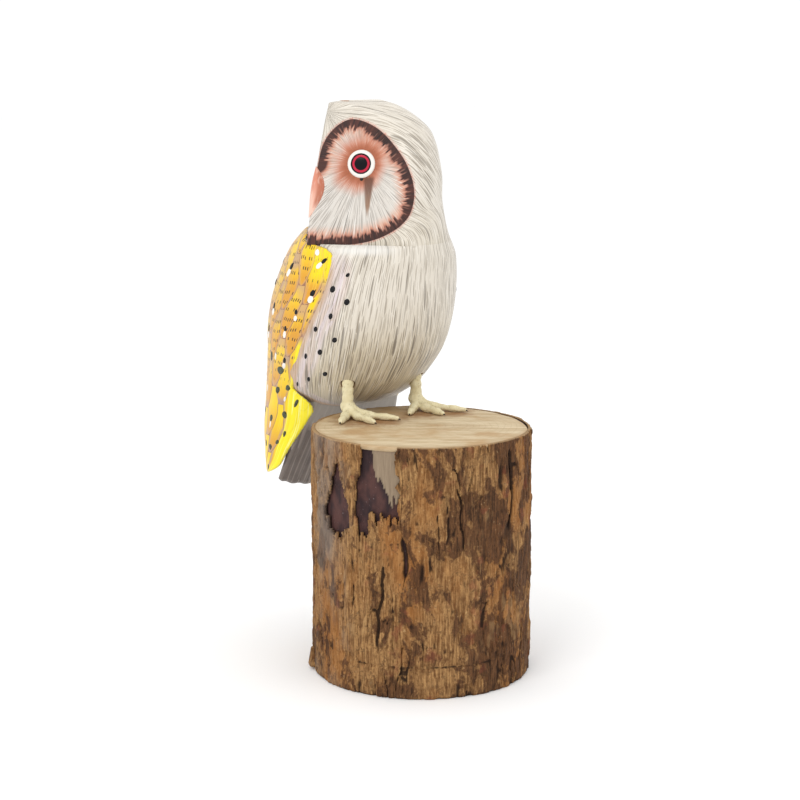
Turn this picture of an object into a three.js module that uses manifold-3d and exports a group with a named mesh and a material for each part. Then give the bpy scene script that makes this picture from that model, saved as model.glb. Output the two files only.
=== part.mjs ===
// Painted wooden owl standing on a log.
// Millimetres, +Z up. The origin is the centre of the log's sawn underside, the owl's body
// faces -Y and its head is turned a quarter turn to its own right, towards -X.
import * as THREE from 'three';
import { mergeVertices } from 'three/addons/utils/BufferGeometryUtils.js';
import Module from 'manifold-3d';

const wasm = await Module();
wasm.setup();

// ---------------------------------------------------------------- driving dimensions

const GAP = 0.3; // clearance between pieces that touch
const REACH = 200; // length of a cutting tool that goes right through a piece

const LOG_HEIGHT = 116.3;
const LOG_RADIUS = 52; // to the outer face of the bark
const BARK_THICKNESS = 2.4;
const INNER_BARK_THICKNESS = 1.8;
const INNER_BARK_RADIUS = LOG_RADIUS - BARK_THICKNESS - GAP;
const CORE_RADIUS = INNER_BARK_RADIUS - INNER_BARK_THICKNESS - GAP;
const BARK_BUMP = 0.8; // how far the bark's face rises and falls
const BARK_SEAM = 1.2; // width of a crack between two bark plates
const SEAM_WANDER = 2.0; // how far a crack wanders sideways
// Each plate runs from its own crack to the next one, in degrees around the log from -Y.
const BARK_PLATES = [
  { name: 'bark_plate_left', from: -96 },
  { name: 'bark_plate_front', from: -44 },
  { name: 'bark_plate_right', from: 18 },
  { name: 'bark_plate_back_right', from: 100 },
  { name: 'bark_plate_back', from: 190 },
];
const FLAKE_AZIMUTH = -118; // the loose flake of bark near the foot of the log
const FLAKE_SIZE = { width: 7, height: 9, thickness: 1.6 };
const FLAKE_BOTTOM = 1.5;
// The patch where the bark is torn off, across the log and up, seen square on.
const TEAR_AZIMUTH = -70;
const TEAR_OUTLINE = [
  [-17, 125], [-16, 98], [-12, 84], [-8, 72], [-3, 78], [3, 70], [9, 76],
  [13, 73], [18, 84], [21, 97], [22, 125],
];

const OWL_PLACE = new THREE.Vector3(2.5, 3.8, 0); // the owl's own middle plane on the log

// Level sections of the torso: height, centre along Y, half width, half depth.
const TORSO_TOP = 199.8;
const TORSO = [
  [115.5, 75, 17, 14], [119, 72, 26, 24], [124, 68.5, 32, 31.5], [131, 64.5, 36.5, 37.5],
  [139, 60.5, 40, 41], [146, 57.2, 42, 43], [157, 53.7, 43.7, 44.6], [172, 49.7, 44, 44.5],
  [187, 45, 41.8, 42], [196, 41, 38, 38.3], [TORSO_TOP, 39, 35, 35.6],
];
// Level sections of the closed wings' outer face, in the same form.
const WING_FACE = [
  [74, 90, 30, 22], [90, 86, 32.3, 27], [105, 82.5, 33.5, 31], [120, 75.5, 35.5, 35],
  [131, 68.8, 37.8, 39], [146, 58.7, 42.4, 43.2], [157, 54.5, 44.2, 45], [172, 50, 44.4, 44.8],
  [187, 45.2, 42, 42.3], [198, 41, 38.8, 39], [206, 37, 34, 35],
];
const WING_THICKNESS = 6;
// The wing seen from the owl's side, along Y and up: shoulder, leading edge, tip, back.
const WING_SIDE = [
  [25, 198], [25, 179], [29.5, 170], [37, 157.5], [44.6, 146], [59.5, 127.5], [54.6, 119],
  [58.8, 112], [69, 100], [81.4, 85], [92, 78.5], [100, 78.5], [140, 78.5], [140, 205],
  [48, 205], [42, 198],
];
// The wing seen from behind, away from the middle plane and up.
const WING_BACK = [
  [0.8, 206], [0.8, 152], [6, 128], [12, 104], [18, 84], [24, 78], [60, 78], [60, 206],
];

const TAIL_TOP = 121;
const TAIL_BOTTOM = 71;
const TAIL_TOP_HALF_WIDTH = 25;
const TAIL_BOTTOM_HALF_WIDTH = 28;
const TAIL_THICKNESS = 7;
const TAIL_TOP_Y = 56; // front face of the tail at its top
const TAIL_BOTTOM_Y = 87; // and at its bottom
const TENON = { halfWidth: 10, bottom: 104, top: 134 };

// The head, in sections about its own upright axis: height, length behind the axis,
// length in front of it before the facets are cut, half width.
const HEAD_Y = 38;
const HEAD_BOTTOM = TORSO_TOP + GAP;
const HEAD = [
  [HEAD_BOTTOM, 35, 58, 35.4], [206, 32.6, 57, 34.4], [212, 31, 56, 34], [219, 29.7, 55, 33.7],
  [230.6, 29.7, 52, 33], [238, 28.8, 50, 31.5], [245.6, 27.4, 46, 28.8], [253, 24, 41, 24.8],
  [257.5, 19, 37, 20.5], [261.5, 13, 33, 15], [264.6, 6, 29, 9], [266, 1, 20, 3],
];
const KEEL_TOP = { forward: 27.4, height: 264 }; // the ridge where the two facets meet
const KEEL_SLOPE = 0.262; // how far it comes forward for each millimetre down, at its top
const KEEL_EASE = 0.00105; // and how fast that slope dies away
const NECK_DOWEL = { radius: 8, bottom: 180, top: 222 };

const EYE_HEIGHT = 237.3;
const EYE_FROM_KEEL = 21.4; // along the facet
const EYE_RADIUS = 6.6;
const EYE_THICKNESS = 5;
const EYE_CROWN = 0.9; // how far the button stands out of the facet

const BEAK_TOP = 236;
const BEAK_BOTTOM = 212;
const BEAK_RADIUS = 3.8;
const BEAK_WIDEST = 0.42; // of its length, from the top
const BEAK_SINK = 0.95; // of its own radius, from the ridge to its centre line

const FEET = [{ name: 'right', x: -20.8 }, { name: 'left', x: 18.2 }];
const FOOT_Y = 32;
const ROD = { radius: 1.2, bottom: 96, top: 150 };
const SHANK_RADIUS = 2.7;
const SHANK_TOP = 134;
const LEG_HOLE = { radius: 3.6, top: SHANK_TOP + GAP };
const ANKLE_HEIGHT = 6; // of the foot's knuckle, over the log
const ANKLE_RADIUS = 3.8;
const TOE_RADIUS = 2.1;
// Toes by bearing in degrees from straight ahead, towards the owl's left, and length.
const TOES = [
  { name: 'inner', bearing: 36, length: 25 },
  { name: 'middle', bearing: 2, length: 22 },
  { name: 'outer', bearing: -43, length: 18 },
];
const CLAW = { radius: 0.7, length: 6, shown: 2 };

// ---------------------------------------------------------------- colours

const finish = (color, roughness, metalness = 0) =>
  new THREE.MeshStandardMaterial({ color, roughness, metalness });
const FINISH = {
  wood: finish(0xcbab7c, 0.75),
  innerBark: finish(0x3d2826, 0.85),
  bark: finish(0x8a5a2e, 0.9),
  white: finish(0xece7dc, 0.4),
  yellow: finish(0xf0bd1c, 0.4),
  gray: finish(0x8f8b88, 0.45),
  beak: finish(0xe08a6c, 0.4),
  eye: finish(0xf4f2ee, 0.25),
  cream: finish(0xe6dcae, 0.6),
  dark: finish(0x2b2522, 0.5),
  dowel: finish(0xd3b27f, 0.7),
  steel: finish(0x8d9094, 0.35, 1),
};

// ---------------------------------------------------------------- solids

// A closed geometry as a solid that can be cut and joined.
function toSolid(geometry) {
  const bare = geometry.clone();
  bare.deleteAttribute('normal');
  bare.deleteAttribute('uv');
  const merged = mergeVertices(bare, 1e-4);
  const index = merged.index.array;
  const corners = [];
  for (let i = 0; i < index.length; i += 3) {
    const [a, b, c] = [index[i], index[i + 1], index[i + 2]];
    if (a !== b && b !== c && c !== a) corners.push(a, b, c);
  }
  return new wasm.Manifold(new wasm.Mesh({
    numProp: 3,
    vertProperties: new Float32Array(merged.attributes.position.array),
    triVerts: new Uint32Array(corners),
  }));
}

function toGeometry(solid) {
  const mesh = solid.getMesh();
  const geometry = new THREE.BufferGeometry();
  geometry.setAttribute('position', new THREE.BufferAttribute(mesh.vertProperties, 3));
  geometry.setIndex(new THREE.BufferAttribute(mesh.triVerts, 1));
  geometry.computeVertexNormals();
  return geometry;
}

// Moves every vertex of a geometry with a function of its place.
function warp(geometry, move) {
  const place = geometry.attributes.position;
  const point = new THREE.Vector3();
  for (let i = 0; i < place.count; i += 1) {
    point.fromBufferAttribute(place, i);
    move(point);
    place.setXYZ(i, point.x, point.y, point.z);
  }
  return geometry;
}

// A solid turned about an upright axis; the profile is [radius, height] from the bottom up.
function turned(profile, columns) {
  const points = profile.map(([radius, height]) => new THREE.Vector2(radius, height));
  return new THREE.LatheGeometry(points, columns).rotateX(Math.PI / 2);
}

const rod = (radius, bottom, top, columns = 12) =>
  turned([[0, bottom], [radius, bottom], [radius, top], [0, top]], columns);

// A flat outline pushed through along +Z.
function prism(outline, depth) {
  const shape = new THREE.Shape(outline.map(([x, y]) => new THREE.Vector2(x, y)));
  return new THREE.ExtrudeGeometry(shape, { depth, bevelEnabled: false });
}

// An outline drawn along Y and up, pushed through along X from x = start.
function sidePrism(outline, start, depth) {
  return prism(outline, depth).rotateZ(Math.PI / 2).rotateY(Math.PI / 2).translate(start, 0, 0);
}

// An outline drawn along X and up, pushed through along Y from y = start.
function backPrism(outline, start, depth) {
  return prism(outline, depth).rotateX(Math.PI / 2).translate(0, start + depth, 0);
}

// A smooth line through rows of numbers whose first column is the height.
function smoothRows(rows) {
  const heights = rows.map((row) => row[0]);
  const values = rows.flatMap((row) => row.slice(1));
  const size = rows[0].length - 1;
  const line = new THREE.CubicInterpolant(heights, values, size, new Float64Array(size));
  return (height) => Array.from(line.evaluate(height));
}

// The level slices of a lofted solid, spaced so that its rounded ends get more of them.
function sliceHeights(rows, slices) {
  const bottom = rows[0][0];
  const top = rows[rows.length - 1][0];
  return Array.from({ length: slices + 1 }, (_, i) => {
    const even = i / slices;
    const eased = (1 - Math.cos(Math.PI * even)) / 2;
    return THREE.MathUtils.lerp(bottom, top, (even + eased) / 2);
  });
}

// A column whose slices are circles of radius 1, ready to be warped to its real sections.
function unitColumn(heights, columns) {
  const profile = heights.map((height) => [1, height]);
  const ends = [[0, heights[0]], [0, heights[heights.length - 1]]];
  return turned([ends[0], ...profile, ends[1]], columns);
}

// A solid with level sections of [height, centre along Y, half width, half depth].
function ellipseLoft(rows, slices, columns, shrink = 0) {
  const section = smoothRows(rows);
  return warp(unitColumn(sliceHeights(rows, slices), columns), (point) => {
    const [centre, width, depth] = section(point.z);
    point.x *= width - shrink;
    point.y = centre + point.y * (depth - shrink);
  });
}

const mirrored = (solid) => solid.mirror([1, 0, 0]);

// ---------------------------------------------------------------- the log

const azimuth = (degrees) => THREE.MathUtils.degToRad(degrees);

// Bearing 0 is -Y, and bearings grow towards +X.
function onLog(point, bearing, radius, height) {
  point.set(radius * Math.sin(bearing), -radius * Math.cos(bearing), height);
}

const seamWander = (bearing, height) =>
  (SEAM_WANDER / LOG_RADIUS) * Math.sin(height / 9 + bearing * 3) * Math.cos(height / 23 - bearing);

const barkBump = (bearing, height) =>
  BARK_BUMP * Math.sin(bearing * 7 + height / 31) * Math.sin(bearing * 3 - height / 14 + 1);

function barkPlate(from, to) {
  const seam = BARK_SEAM / LOG_RADIUS;
  const span = azimuth(to - from) - seam;
  const middle = azimuth((from + to) / 2);
  const columns = Math.round(span / azimuth(9));
  const slab = new THREE.BoxGeometry(span, LOG_HEIGHT, BARK_THICKNESS, columns, 7, 1);
  return toSolid(warp(slab, (point) => {
    const height = point.y + LOG_HEIGHT / 2;
    const bearing = middle + point.x + seamWander(middle + point.x, height);
    const outside = point.z > 0;
    const radius = LOG_RADIUS - BARK_THICKNESS / 2 + point.z;
    onLog(point, bearing, outside ? radius + barkBump(bearing, height) : radius, height);
  }));
}

function tearCutter() {
  const outline = TEAR_OUTLINE.map(([across, height]) => [across, height]);
  return toSolid(backPrism(outline, -REACH, REACH).rotateZ(azimuth(TEAR_AZIMUTH)));
}

function addLog(place) {
  const bores = FEET.map(({ x }) => toSolid(
    rod(ROD.radius + GAP, ROD.bottom - GAP, LOG_HEIGHT + 1)
      .translate(OWL_PLACE.x + x, OWL_PLACE.y + FOOT_Y, 0),
  ));
  const core = toSolid(rod(CORE_RADIUS, 0, LOG_HEIGHT, 64));
  place('log_core', core.subtract(bores[0]).subtract(bores[1]), FINISH.wood);

  const inner = INNER_BARK_RADIUS - INNER_BARK_THICKNESS;
  const ring = turned([
    [inner, 0], [INNER_BARK_RADIUS, 0], [INNER_BARK_RADIUS, LOG_HEIGHT],
    [inner, LOG_HEIGHT], [inner, 0],
  ], 48);
  place('inner_bark', toSolid(ring), FINISH.innerBark);

  BARK_PLATES.forEach(({ name, from }, i) => {
    const next = BARK_PLATES[i + 1];
    const plate = barkPlate(from, next ? next.from : BARK_PLATES[0].from + 360);
    place(name, plate.subtract(tearCutter()), FINISH.bark);
  });
  place('bark_flake', barkFlake(), FINISH.bark);
}

// A loose chip of bark that leans on the outside of the log.
function barkFlake() {
  const { width, height, thickness } = FLAKE_SIZE;
  const slab = new THREE.BoxGeometry(width / LOG_RADIUS, height, thickness, 3, 4, 1);
  return toSolid(warp(slab, (point) => {
    const up = point.y / height + 0.5;
    const narrow = 1 - 0.5 * up;
    const bearing = azimuth(FLAKE_AZIMUTH) + point.x * narrow;
    const level = FLAKE_BOTTOM + up * height;
    const face = LOG_RADIUS + barkBump(bearing, level) + 2 * GAP;
    onLog(point, bearing, face + (point.z + thickness / 2) * narrow, level);
  }));
}

// ---------------------------------------------------------------- torso, wings and tail

function wingBlank(shrink) {
  return toSolid(ellipseLoft(WING_FACE, 14, 36, shrink));
}

function torsoBlank(grow) {
  const blank = toSolid(ellipseLoft(TORSO, 16, 36, -grow));
  return grow ? blank.add(blank.translate([0, 0, -grow])) : blank;
}

// The wing's outline as one block on the owl's right, grown by an all-round allowance.
function wingOutline(grow) {
  const side = toSolid(sidePrism(WING_SIDE, -REACH / 2, REACH / 2));
  const back = toSolid(backPrism(WING_BACK.map(([x, z]) => [-x, z]), -REACH, 2 * REACH));
  const block = side.intersect(back);
  return grow ? widened(block, grow) : block;
}

// The union of a block with copies of itself moved a little each way along Y and Z.
function widened(block, grow) {
  const moves = [[1, 1], [1, -1], [-1, 1], [-1, -1]];
  const copies = moves.map(([y, z]) => block.translate([0, y * grow, z * grow]));
  return copies.reduce((all, copy) => all.add(copy), block);
}

// The wing on one side of the owl, -1 for its right and 1 for its left.
function wing(side) {
  const blade = wingOutline(0).intersect(wingBlank(0)).subtract(wingBlank(WING_THICKNESS));
  const head = toSolid(toHead(toGeometry(headBlank(GAP))));
  return (side < 0 ? blade : mirrored(blade)).subtract(head);
}

function torso() {
  const pocket = wingOutline(GAP).subtract(wingBlank(WING_THICKNESS + GAP));
  const neckHole = toSolid(rod(NECK_DOWEL.radius + GAP, NECK_DOWEL.bottom - GAP,
    TORSO_TOP + 1, 16).translate(0, HEAD_Y, 0));
  const tools = [pocket, mirrored(pocket), neckHole, ...legHoles(), tailTenon(GAP)];
  return tools.reduce((body, tool) => body.subtract(tool), torsoBlank(0));
}

function legHoles() {
  return FEET.flatMap(({ x }) => [
    rod(LEG_HOLE.radius, LOG_HEIGHT, LEG_HOLE.top, 16),
    rod(ROD.radius + GAP, LEG_HOLE.top - 1, ROD.top + GAP),
  ].map((hole) => toSolid(hole.translate(x, FOOT_Y, 0))));
}

// The middle of the tail's thickness at a height.
function tailMiddle(height) {
  const down = (TAIL_TOP - height) / (TAIL_TOP - TAIL_BOTTOM);
  return THREE.MathUtils.lerp(TAIL_TOP_Y, TAIL_BOTTOM_Y, down) + TAIL_THICKNESS / 2;
}

// An outline cut from board and leant back to the slope of the tail.
function slopingBoard(outline, grow) {
  const depth = TAIL_THICKNESS + 2 * grow;
  const board = new THREE.ExtrudeGeometry(outline, {
    depth, bevelEnabled: false, curveSegments: 12,
  });
  return toSolid(warp(board.rotateX(Math.PI / 2).translate(0, depth / 2, 0), (point) => {
    point.y += tailMiddle(point.z);
  }));
}

// The upper end of the tail's board, narrowed to enter the torso.
function tailTenon(grow) {
  const half = TENON.halfWidth + grow;
  const top = TENON.top + grow;
  const corners = [[-half, TENON.bottom], [half, TENON.bottom], [half, top], [-half, top]];
  return slopingBoard(new THREE.Shape(corners.map(([x, y]) => new THREE.Vector2(x, y))), grow);
}

// A fan-shaped board with a rounded lower edge and a tenon that enters the torso.
function tail() {
  const cornerRise = 5;
  const corner = TAIL_BOTTOM + cornerRise;
  const outline = new THREE.Shape();
  outline.moveTo(-TAIL_TOP_HALF_WIDTH, TAIL_TOP);
  outline.lineTo(-TAIL_BOTTOM_HALF_WIDTH, corner);
  outline.quadraticCurveTo(0, TAIL_BOTTOM - cornerRise, TAIL_BOTTOM_HALF_WIDTH, corner);
  outline.lineTo(TAIL_TOP_HALF_WIDTH, TAIL_TOP);
  const wingSpace = wingOutline(GAP).subtract(wingBlank(WING_THICKNESS + GAP));
  return slopingBoard(outline, 0).subtract(torsoBlank(GAP))
    .subtract(wingSpace).subtract(mirrored(wingSpace)).add(tailTenon(0));
}

// ---------------------------------------------------------------- the head

function keelForward(height) {
  const down = KEEL_TOP.height - height;
  return KEEL_TOP.forward + KEEL_SLOPE * down - KEEL_EASE * down * down;
}

// Places a piece that is modelled facing -Y about the upright axis into the turned head.
const toHead = (geometry) => geometry.rotateZ(-Math.PI / 2).translate(0, HEAD_Y, 0);

// The frame of the left or right facet: its origin on the ridge at a height, x along the
// facet away from the ridge, z square out of it.
function facetFrame(side, height) {
  const along = new THREE.Vector3(side * Math.SQRT1_2, Math.SQRT1_2, 0);
  const slope = keelForward(height - 1) - keelForward(height);
  const down = new THREE.Vector3(0, -slope, -1).normalize();
  const out = new THREE.Vector3().crossVectors(down, along).normalize();
  if (out.y > 0) out.negate();
  const up = new THREE.Vector3().crossVectors(out, along);
  return new THREE.Matrix4().makeBasis(along, up, out)
    .setPosition(0, -keelForward(height), height);
}

// The head before it is bored, grown by an all-round allowance, with its axis at x = y = 0.
function headBlank(grow) {
  const section = smoothRows(HEAD);
  const blank = warp(unitColumn(sliceHeights(HEAD, 14), 36), (point) => {
    const [behind, ahead, width] = section(point.z);
    point.x *= width + grow;
    point.y *= (point.y > 0 ? behind : ahead) + grow;
    if (point.z === HEAD_BOTTOM) point.z -= grow;
  });
  // Everything in front of a facet, as an outline of the facet's profile pushed along it.
  const steps = [180, 200, 215, 230, 240, 250, 257, 264, 275];
  const profile = steps.map((height) => [keelForward(height) * Math.SQRT1_2 + grow, height]);
  const outline = [...profile, [REACH, 275], [REACH, 180]];
  const cutters = [-1, 1].map((side) => toSolid(
    backPrism(outline, -REACH / 2, REACH).rotateZ(-Math.PI / 2 + side * (Math.PI / 4)),
  ));
  return toSolid(blank).subtract(cutters[0]).subtract(cutters[1]);
}

// A turned button with a low dome, let into the facet.
function eyeButton(side, grow) {
  const radius = EYE_RADIUS + grow;
  const depth = EYE_THICKNESS + grow;
  const button = turned([
    [0, -depth], [radius, -depth], [radius, 0],
    [radius * 0.7, EYE_CROWN * 0.7], [radius * 0.35, EYE_CROWN], [0, EYE_CROWN],
  ], 24);
  return button.translate(EYE_FROM_KEEL, 0, 0).applyMatrix4(facetFrame(side, EYE_HEIGHT));
}

// A spindle that runs down the ridge, widest below its top and pointed at its foot.
function beakSpindle(grow) {
  const length = BEAK_TOP - BEAK_BOTTOM;
  const rings = 10;
  const profile = Array.from({ length: rings + 1 }, (_, i) => {
    const up = i / rings;
    const down = 1 - up;
    const bulge = down < BEAK_WIDEST
      ? Math.sin((Math.PI / 2) * (down / BEAK_WIDEST))
      : Math.cos((Math.PI / 2) * ((down - BEAK_WIDEST) / (1 - BEAK_WIDEST)));
    return [bulge * BEAK_RADIUS, BEAK_BOTTOM + up * length];
  });
  const centre = (radius, height) => -keelForward(height) + BEAK_SINK * radius;
  const solidProfile = profile.map(([radius, height], i) => {
    const end = i === 0 || i === rings;
    return [end ? 0 : radius + grow, height + (end ? Math.sign(i - 1) * grow : 0)];
  });
  return warp(turned(solidProfile, 16), (point) => {
    const up = THREE.MathUtils.clamp((point.z - BEAK_BOTTOM) / length, 0, 1) * rings;
    const low = Math.floor(up);
    const high = Math.min(low + 1, rings);
    const radius = THREE.MathUtils.lerp(profile[low][0], profile[high][0], up - low);
    point.y += centre(radius, point.z);
  });
}

function addHead(place) {
  const dowelHole = rod(NECK_DOWEL.radius + GAP, HEAD_BOTTOM - 1, NECK_DOWEL.top + GAP, 16);
  const tools = [dowelHole, eyeButton(-1, GAP), eyeButton(1, GAP), beakSpindle(GAP)].map(toSolid);
  const head = tools.reduce((all, tool) => all.subtract(tool), headBlank(0));
  place('owl_head', toSolid(toHead(toGeometry(head))), FINISH.white);
  place('right_eye', toSolid(toHead(eyeButton(-1, 0))), FINISH.eye);
  place('left_eye', toSolid(toHead(eyeButton(1, 0))), FINISH.eye);
  place('beak', toSolid(toHead(beakSpindle(0))), FINISH.beak);
  place('neck_dowel', toSolid(toHead(rod(NECK_DOWEL.radius, NECK_DOWEL.bottom,
    NECK_DOWEL.top, 16))), FINISH.dowel);
}

// ---------------------------------------------------------------- legs and feet

// Places a piece modelled along +Y from the ankle's foot at a toe's bearing.
const toToe = (geometry, bearing) =>
  geometry.rotateZ(Math.PI - azimuth(-bearing)).translate(0, 0, LOG_HEIGHT + GAP);

// A putty toe: it comes down from the ankle, lies along the log and tapers to its tip.
function toe({ bearing, length }) {
  const rings = 6;
  const profile = Array.from({ length: rings + 1 }, (_, i) => {
    const along = i / rings;
    const knuckle = 1 + 0.12 * Math.cos(along * Math.PI * 5);
    return [TOE_RADIUS * knuckle * (1 - 0.35 * along * along), along * length];
  });
  const body = turned([[0, 0], ...profile, [0, length]], 8).rotateX(-Math.PI / 2);
  warp(body, (point) => {
    const along = point.y / length;
    const drop = Math.max(0, 1 - along * 2.2);
    const lift = TOE_RADIUS + (ANKLE_HEIGHT - TOE_RADIUS) * drop * drop;
    point.z = Math.max(0, lift + point.z * (1 + 0.3 * drop));
  });
  return toSolid(toToe(body, bearing));
}

// The sharpened end of the wire, bent down a little, standing out of the toe's tip.
function claw({ bearing, length }, grow) {
  const start = length - (CLAW.length - CLAW.shown);
  const radius = CLAW.radius + grow;
  const wire = turned([
    [0, start - grow], [radius, start - grow], [radius, length + grow], [0, length + CLAW.shown],
  ], 8).rotateX(-Math.PI / 2);
  return toSolid(toToe(wire.translate(0, 0, TOE_RADIUS * 0.6), bearing));
}

function foot() {
  const knuckle = new THREE.SphereGeometry(ANKLE_RADIUS, 10, 6)
    .rotateX(Math.PI / 2).scale(1, 1, 0.85).translate(0, 0, LOG_HEIGHT + ANKLE_HEIGHT);
  const shank = toSolid(rod(SHANK_RADIUS, LOG_HEIGHT + GAP, SHANK_TOP, 12)).add(toSolid(knuckle));
  const putty = TOES.reduce((all, each) => all.add(toe(each)), shank);
  const wireHole = toSolid(rod(ROD.radius + GAP, LOG_HEIGHT - 5, SHANK_TOP + 5));
  return TOES.reduce((all, each) => all.subtract(claw(each, GAP)), putty).subtract(wireHole);
}

function addLegs(place) {
  for (const { name, x } of FEET) {
    const spot = [x, FOOT_Y, 0];
    place(`${name}_foot`, foot().translate(spot), FINISH.cream);
    const wire = toSolid(rod(ROD.radius, ROD.bottom, ROD.top));
    place(`${name}_leg_rod`, wire.translate(spot), FINISH.steel);
    for (const each of TOES) {
      place(`${name}_${each.name}_claw`, claw(each, 0).translate(spot), FINISH.dark);
    }
  }
}

// ---------------------------------------------------------------- the assembly

const figurine = new THREE.Group();
const log = new THREE.Group();
const owl = new THREE.Group();
owl.position.copy(OWL_PLACE);
figurine.add(log, owl);

const placeIn = (group) => (name, solid, material) => {
  const mesh = new THREE.Mesh(toGeometry(solid), material);
  mesh.name = name;
  group.add(mesh);
};

addLog(placeIn(log));
const onOwl = placeIn(owl);
onOwl('owl_body', torso(), FINISH.white);
onOwl('right_wing', wing(-1), FINISH.yellow);
onOwl('left_wing', wing(1), FINISH.yellow);
onOwl('tail', tail(), FINISH.gray);
addHead(onOwl);
addLegs(onOwl);

export default figurine;
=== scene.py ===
"""A painted wooden owl standing on a log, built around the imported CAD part.

Lengths are in millimetres until a mesh is made. The owl's own frame is the part's frame moved
sideways by OWL, so that the head's upright axis stands at x = 0, y = HEAD_Y. Bearings round the
log are taken from -Y towards +X, and bearings round the owl from its breast (-Y) backwards.
"""

import itertools
import math

import bmesh
import bpy
import numpy as np
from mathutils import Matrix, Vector


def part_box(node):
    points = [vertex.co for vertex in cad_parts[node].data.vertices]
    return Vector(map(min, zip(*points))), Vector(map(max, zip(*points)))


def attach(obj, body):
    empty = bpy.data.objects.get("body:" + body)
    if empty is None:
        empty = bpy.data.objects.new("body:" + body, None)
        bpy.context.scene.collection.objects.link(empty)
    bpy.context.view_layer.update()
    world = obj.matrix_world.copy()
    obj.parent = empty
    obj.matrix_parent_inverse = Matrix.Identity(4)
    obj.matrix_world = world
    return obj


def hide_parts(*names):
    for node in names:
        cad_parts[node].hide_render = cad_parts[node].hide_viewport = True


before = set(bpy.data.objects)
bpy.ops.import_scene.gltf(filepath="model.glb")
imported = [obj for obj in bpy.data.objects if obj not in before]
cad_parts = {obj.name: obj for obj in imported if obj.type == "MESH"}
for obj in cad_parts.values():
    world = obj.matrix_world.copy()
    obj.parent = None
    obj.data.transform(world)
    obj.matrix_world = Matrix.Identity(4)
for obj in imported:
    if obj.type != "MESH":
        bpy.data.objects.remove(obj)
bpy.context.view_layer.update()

MM = 0.001
TAU = 2 * math.pi


def box_mm(node):
    low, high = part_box(node)
    return np.array(low) / MM, np.array(high) / MM


def centre_mm(node):
    low, high = box_mm(node)
    return (low + high) / 2


# ------------------------------------------------------------------ sizes

LOG_TOP = box_mm("log_core")[1][2]
LOG_RADIUS = 52.0
BARK_INSIDE = 49.7
BARK_FACE = 51.4  # the mean radius of the bark's outer face
BARK_RELIEF = (-1.55, 1.3)  # the least and the most that the bark stands out from it
INNER_BARK = {"inside": 47.6, "outside": 49.0}
HEAD_Y = 38.0  # the head's upright axis in the owl's frame
OWL = centre_mm("neck_dowel") * [1, 1, 0] - [0, HEAD_Y, 0]
FOOT_Y = centre_mm("right_leg_rod")[1] - OWL[1]
FEET = {side: centre_mm(f"{side}_leg_rod")[0] - OWL[0] for side in ("right", "left")}

OWL_RADIUS = 43.0  # a mean radius of the owl, which turns its bearings into lengths
LEDGE_RADIUS = 35  # the torso's top, which the head's flat facets leave partly bare
LEFT_TUCK = {"blade": 16, "shoulder": 11}  # how much further back the left wing's front edge lies
LEFT_SPOTS_TURN = 16  # how many degrees further back the left breast spots lie

# Level sections: height, centre along Y, half width, half depth.
TORSO = [
    (115.5, 75, 17, 14), (119, 72, 26, 24), (124, 68.5, 32, 31.5), (131, 64.5, 36.5, 37.5),
    (139, 60.5, 40, 41), (146, 57.2, 42, 43), (157, 53.7, 43.7, 44.6), (172, 49.7, 44, 44.5),
    (187, 45, 41.8, 42), (194, 41, 38.8, 39.3), (198, 38.9, 36.3, 36.7), (200.02, 38, 35.0, 35.4),
]
WING_FACE = [
    (74, 90, 30, 22), (90, 86, 32.3, 27), (105, 82.5, 33.5, 31), (120, 75.5, 35.5, 35),
    (131, 68.8, 37.8, 39), (146, 58.7, 42.4, 43.2), (157, 54.5, 44.2, 45), (172, 50, 44.4, 44.8),
    (187, 45.2, 42, 42.3), (198, 41, 38.8, 39), (206, 37, 34, 35),
]
WING_THICKNESS = 5.0
# The wing's front edge and the line that its feathers run along: height, place along Y.
WING_EDGE = [
    (78.5, 92), (81, 87), (85, 81.4), (92, 75.4), (100, 69), (106, 64), (112, 58.8), (116, 55.4),
    (119, 54.4), (122.5, 55.4), (125.5, 57.8), (127.5, 59.2), (129.5, 58.2), (134, 54.4),
    (146, 44.6), (157.5, 37), (170, 29.5), (179, 25), (188, 23), (194, 22.8), (197.5, 25),
    (199.2, 30), (200.2, 40), (201, 44), (203, 47), (206, 52),
]
FEATHER_LINE = [
    (78.5, 93), (85, 85), (96, 77), (108, 69.5), (120, 63.5), (128, 58.8), (134, 54.4),
    (146, 44.6), (157.5, 37), (170, 29.5), (179, 25), (190, 23), (206, 23),
]
WING_BACK = [
    (78.5, 22), (84, 18), (104, 12), (128, 6), (152, 0.8), (199, 0.8), (203, 14), (206, 24),
]

# Level sections of the head: height, length behind the axis, length ahead of it, half width.
HEAD = [
    (199.4, 35.1, 58, 35.5), (206, 32.6, 57, 34.4), (212, 31, 56, 34), (219, 29.7, 55, 33.7),
    (230.6, 29.7, 52, 33), (238, 28.8, 50, 31.5), (245.6, 27.4, 46, 28.8), (253, 24, 41, 24.8),
    (257.5, 19, 37, 20.5), (261.5, 13, 33, 15), (264.6, 6, 29, 9), (266, 1, 20, 3),
]
KEEL_TOP = {"forward": 27.4, "height": 264}
KEEL_SLOPE = 0.262
KEEL_EASE = 0.00105
# The facial disc's rim on a facet: distance from the keel, height.
DISC_RIM = [
    (0.3, 237), (0.5, 241.5), (1.2, 246), (3, 250.5), (6.8, 255), (12, 257.6), (18, 256.9),
    (24.7, 254.1), (30.4, 250.2), (36, 245), (41, 239.4), (44.6, 233.8), (47.2, 228), (48.5, 221.5),
    (47.4, 214.4), (44, 209.4), (39.5, 206), (34, 203.2), (27.5, 201.2), (20, 200), (10, 199.4),
    (-1, 199.2),
]
EYE = {"along": 21.4, "height": 237.3, "radius": 6.6}
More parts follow.
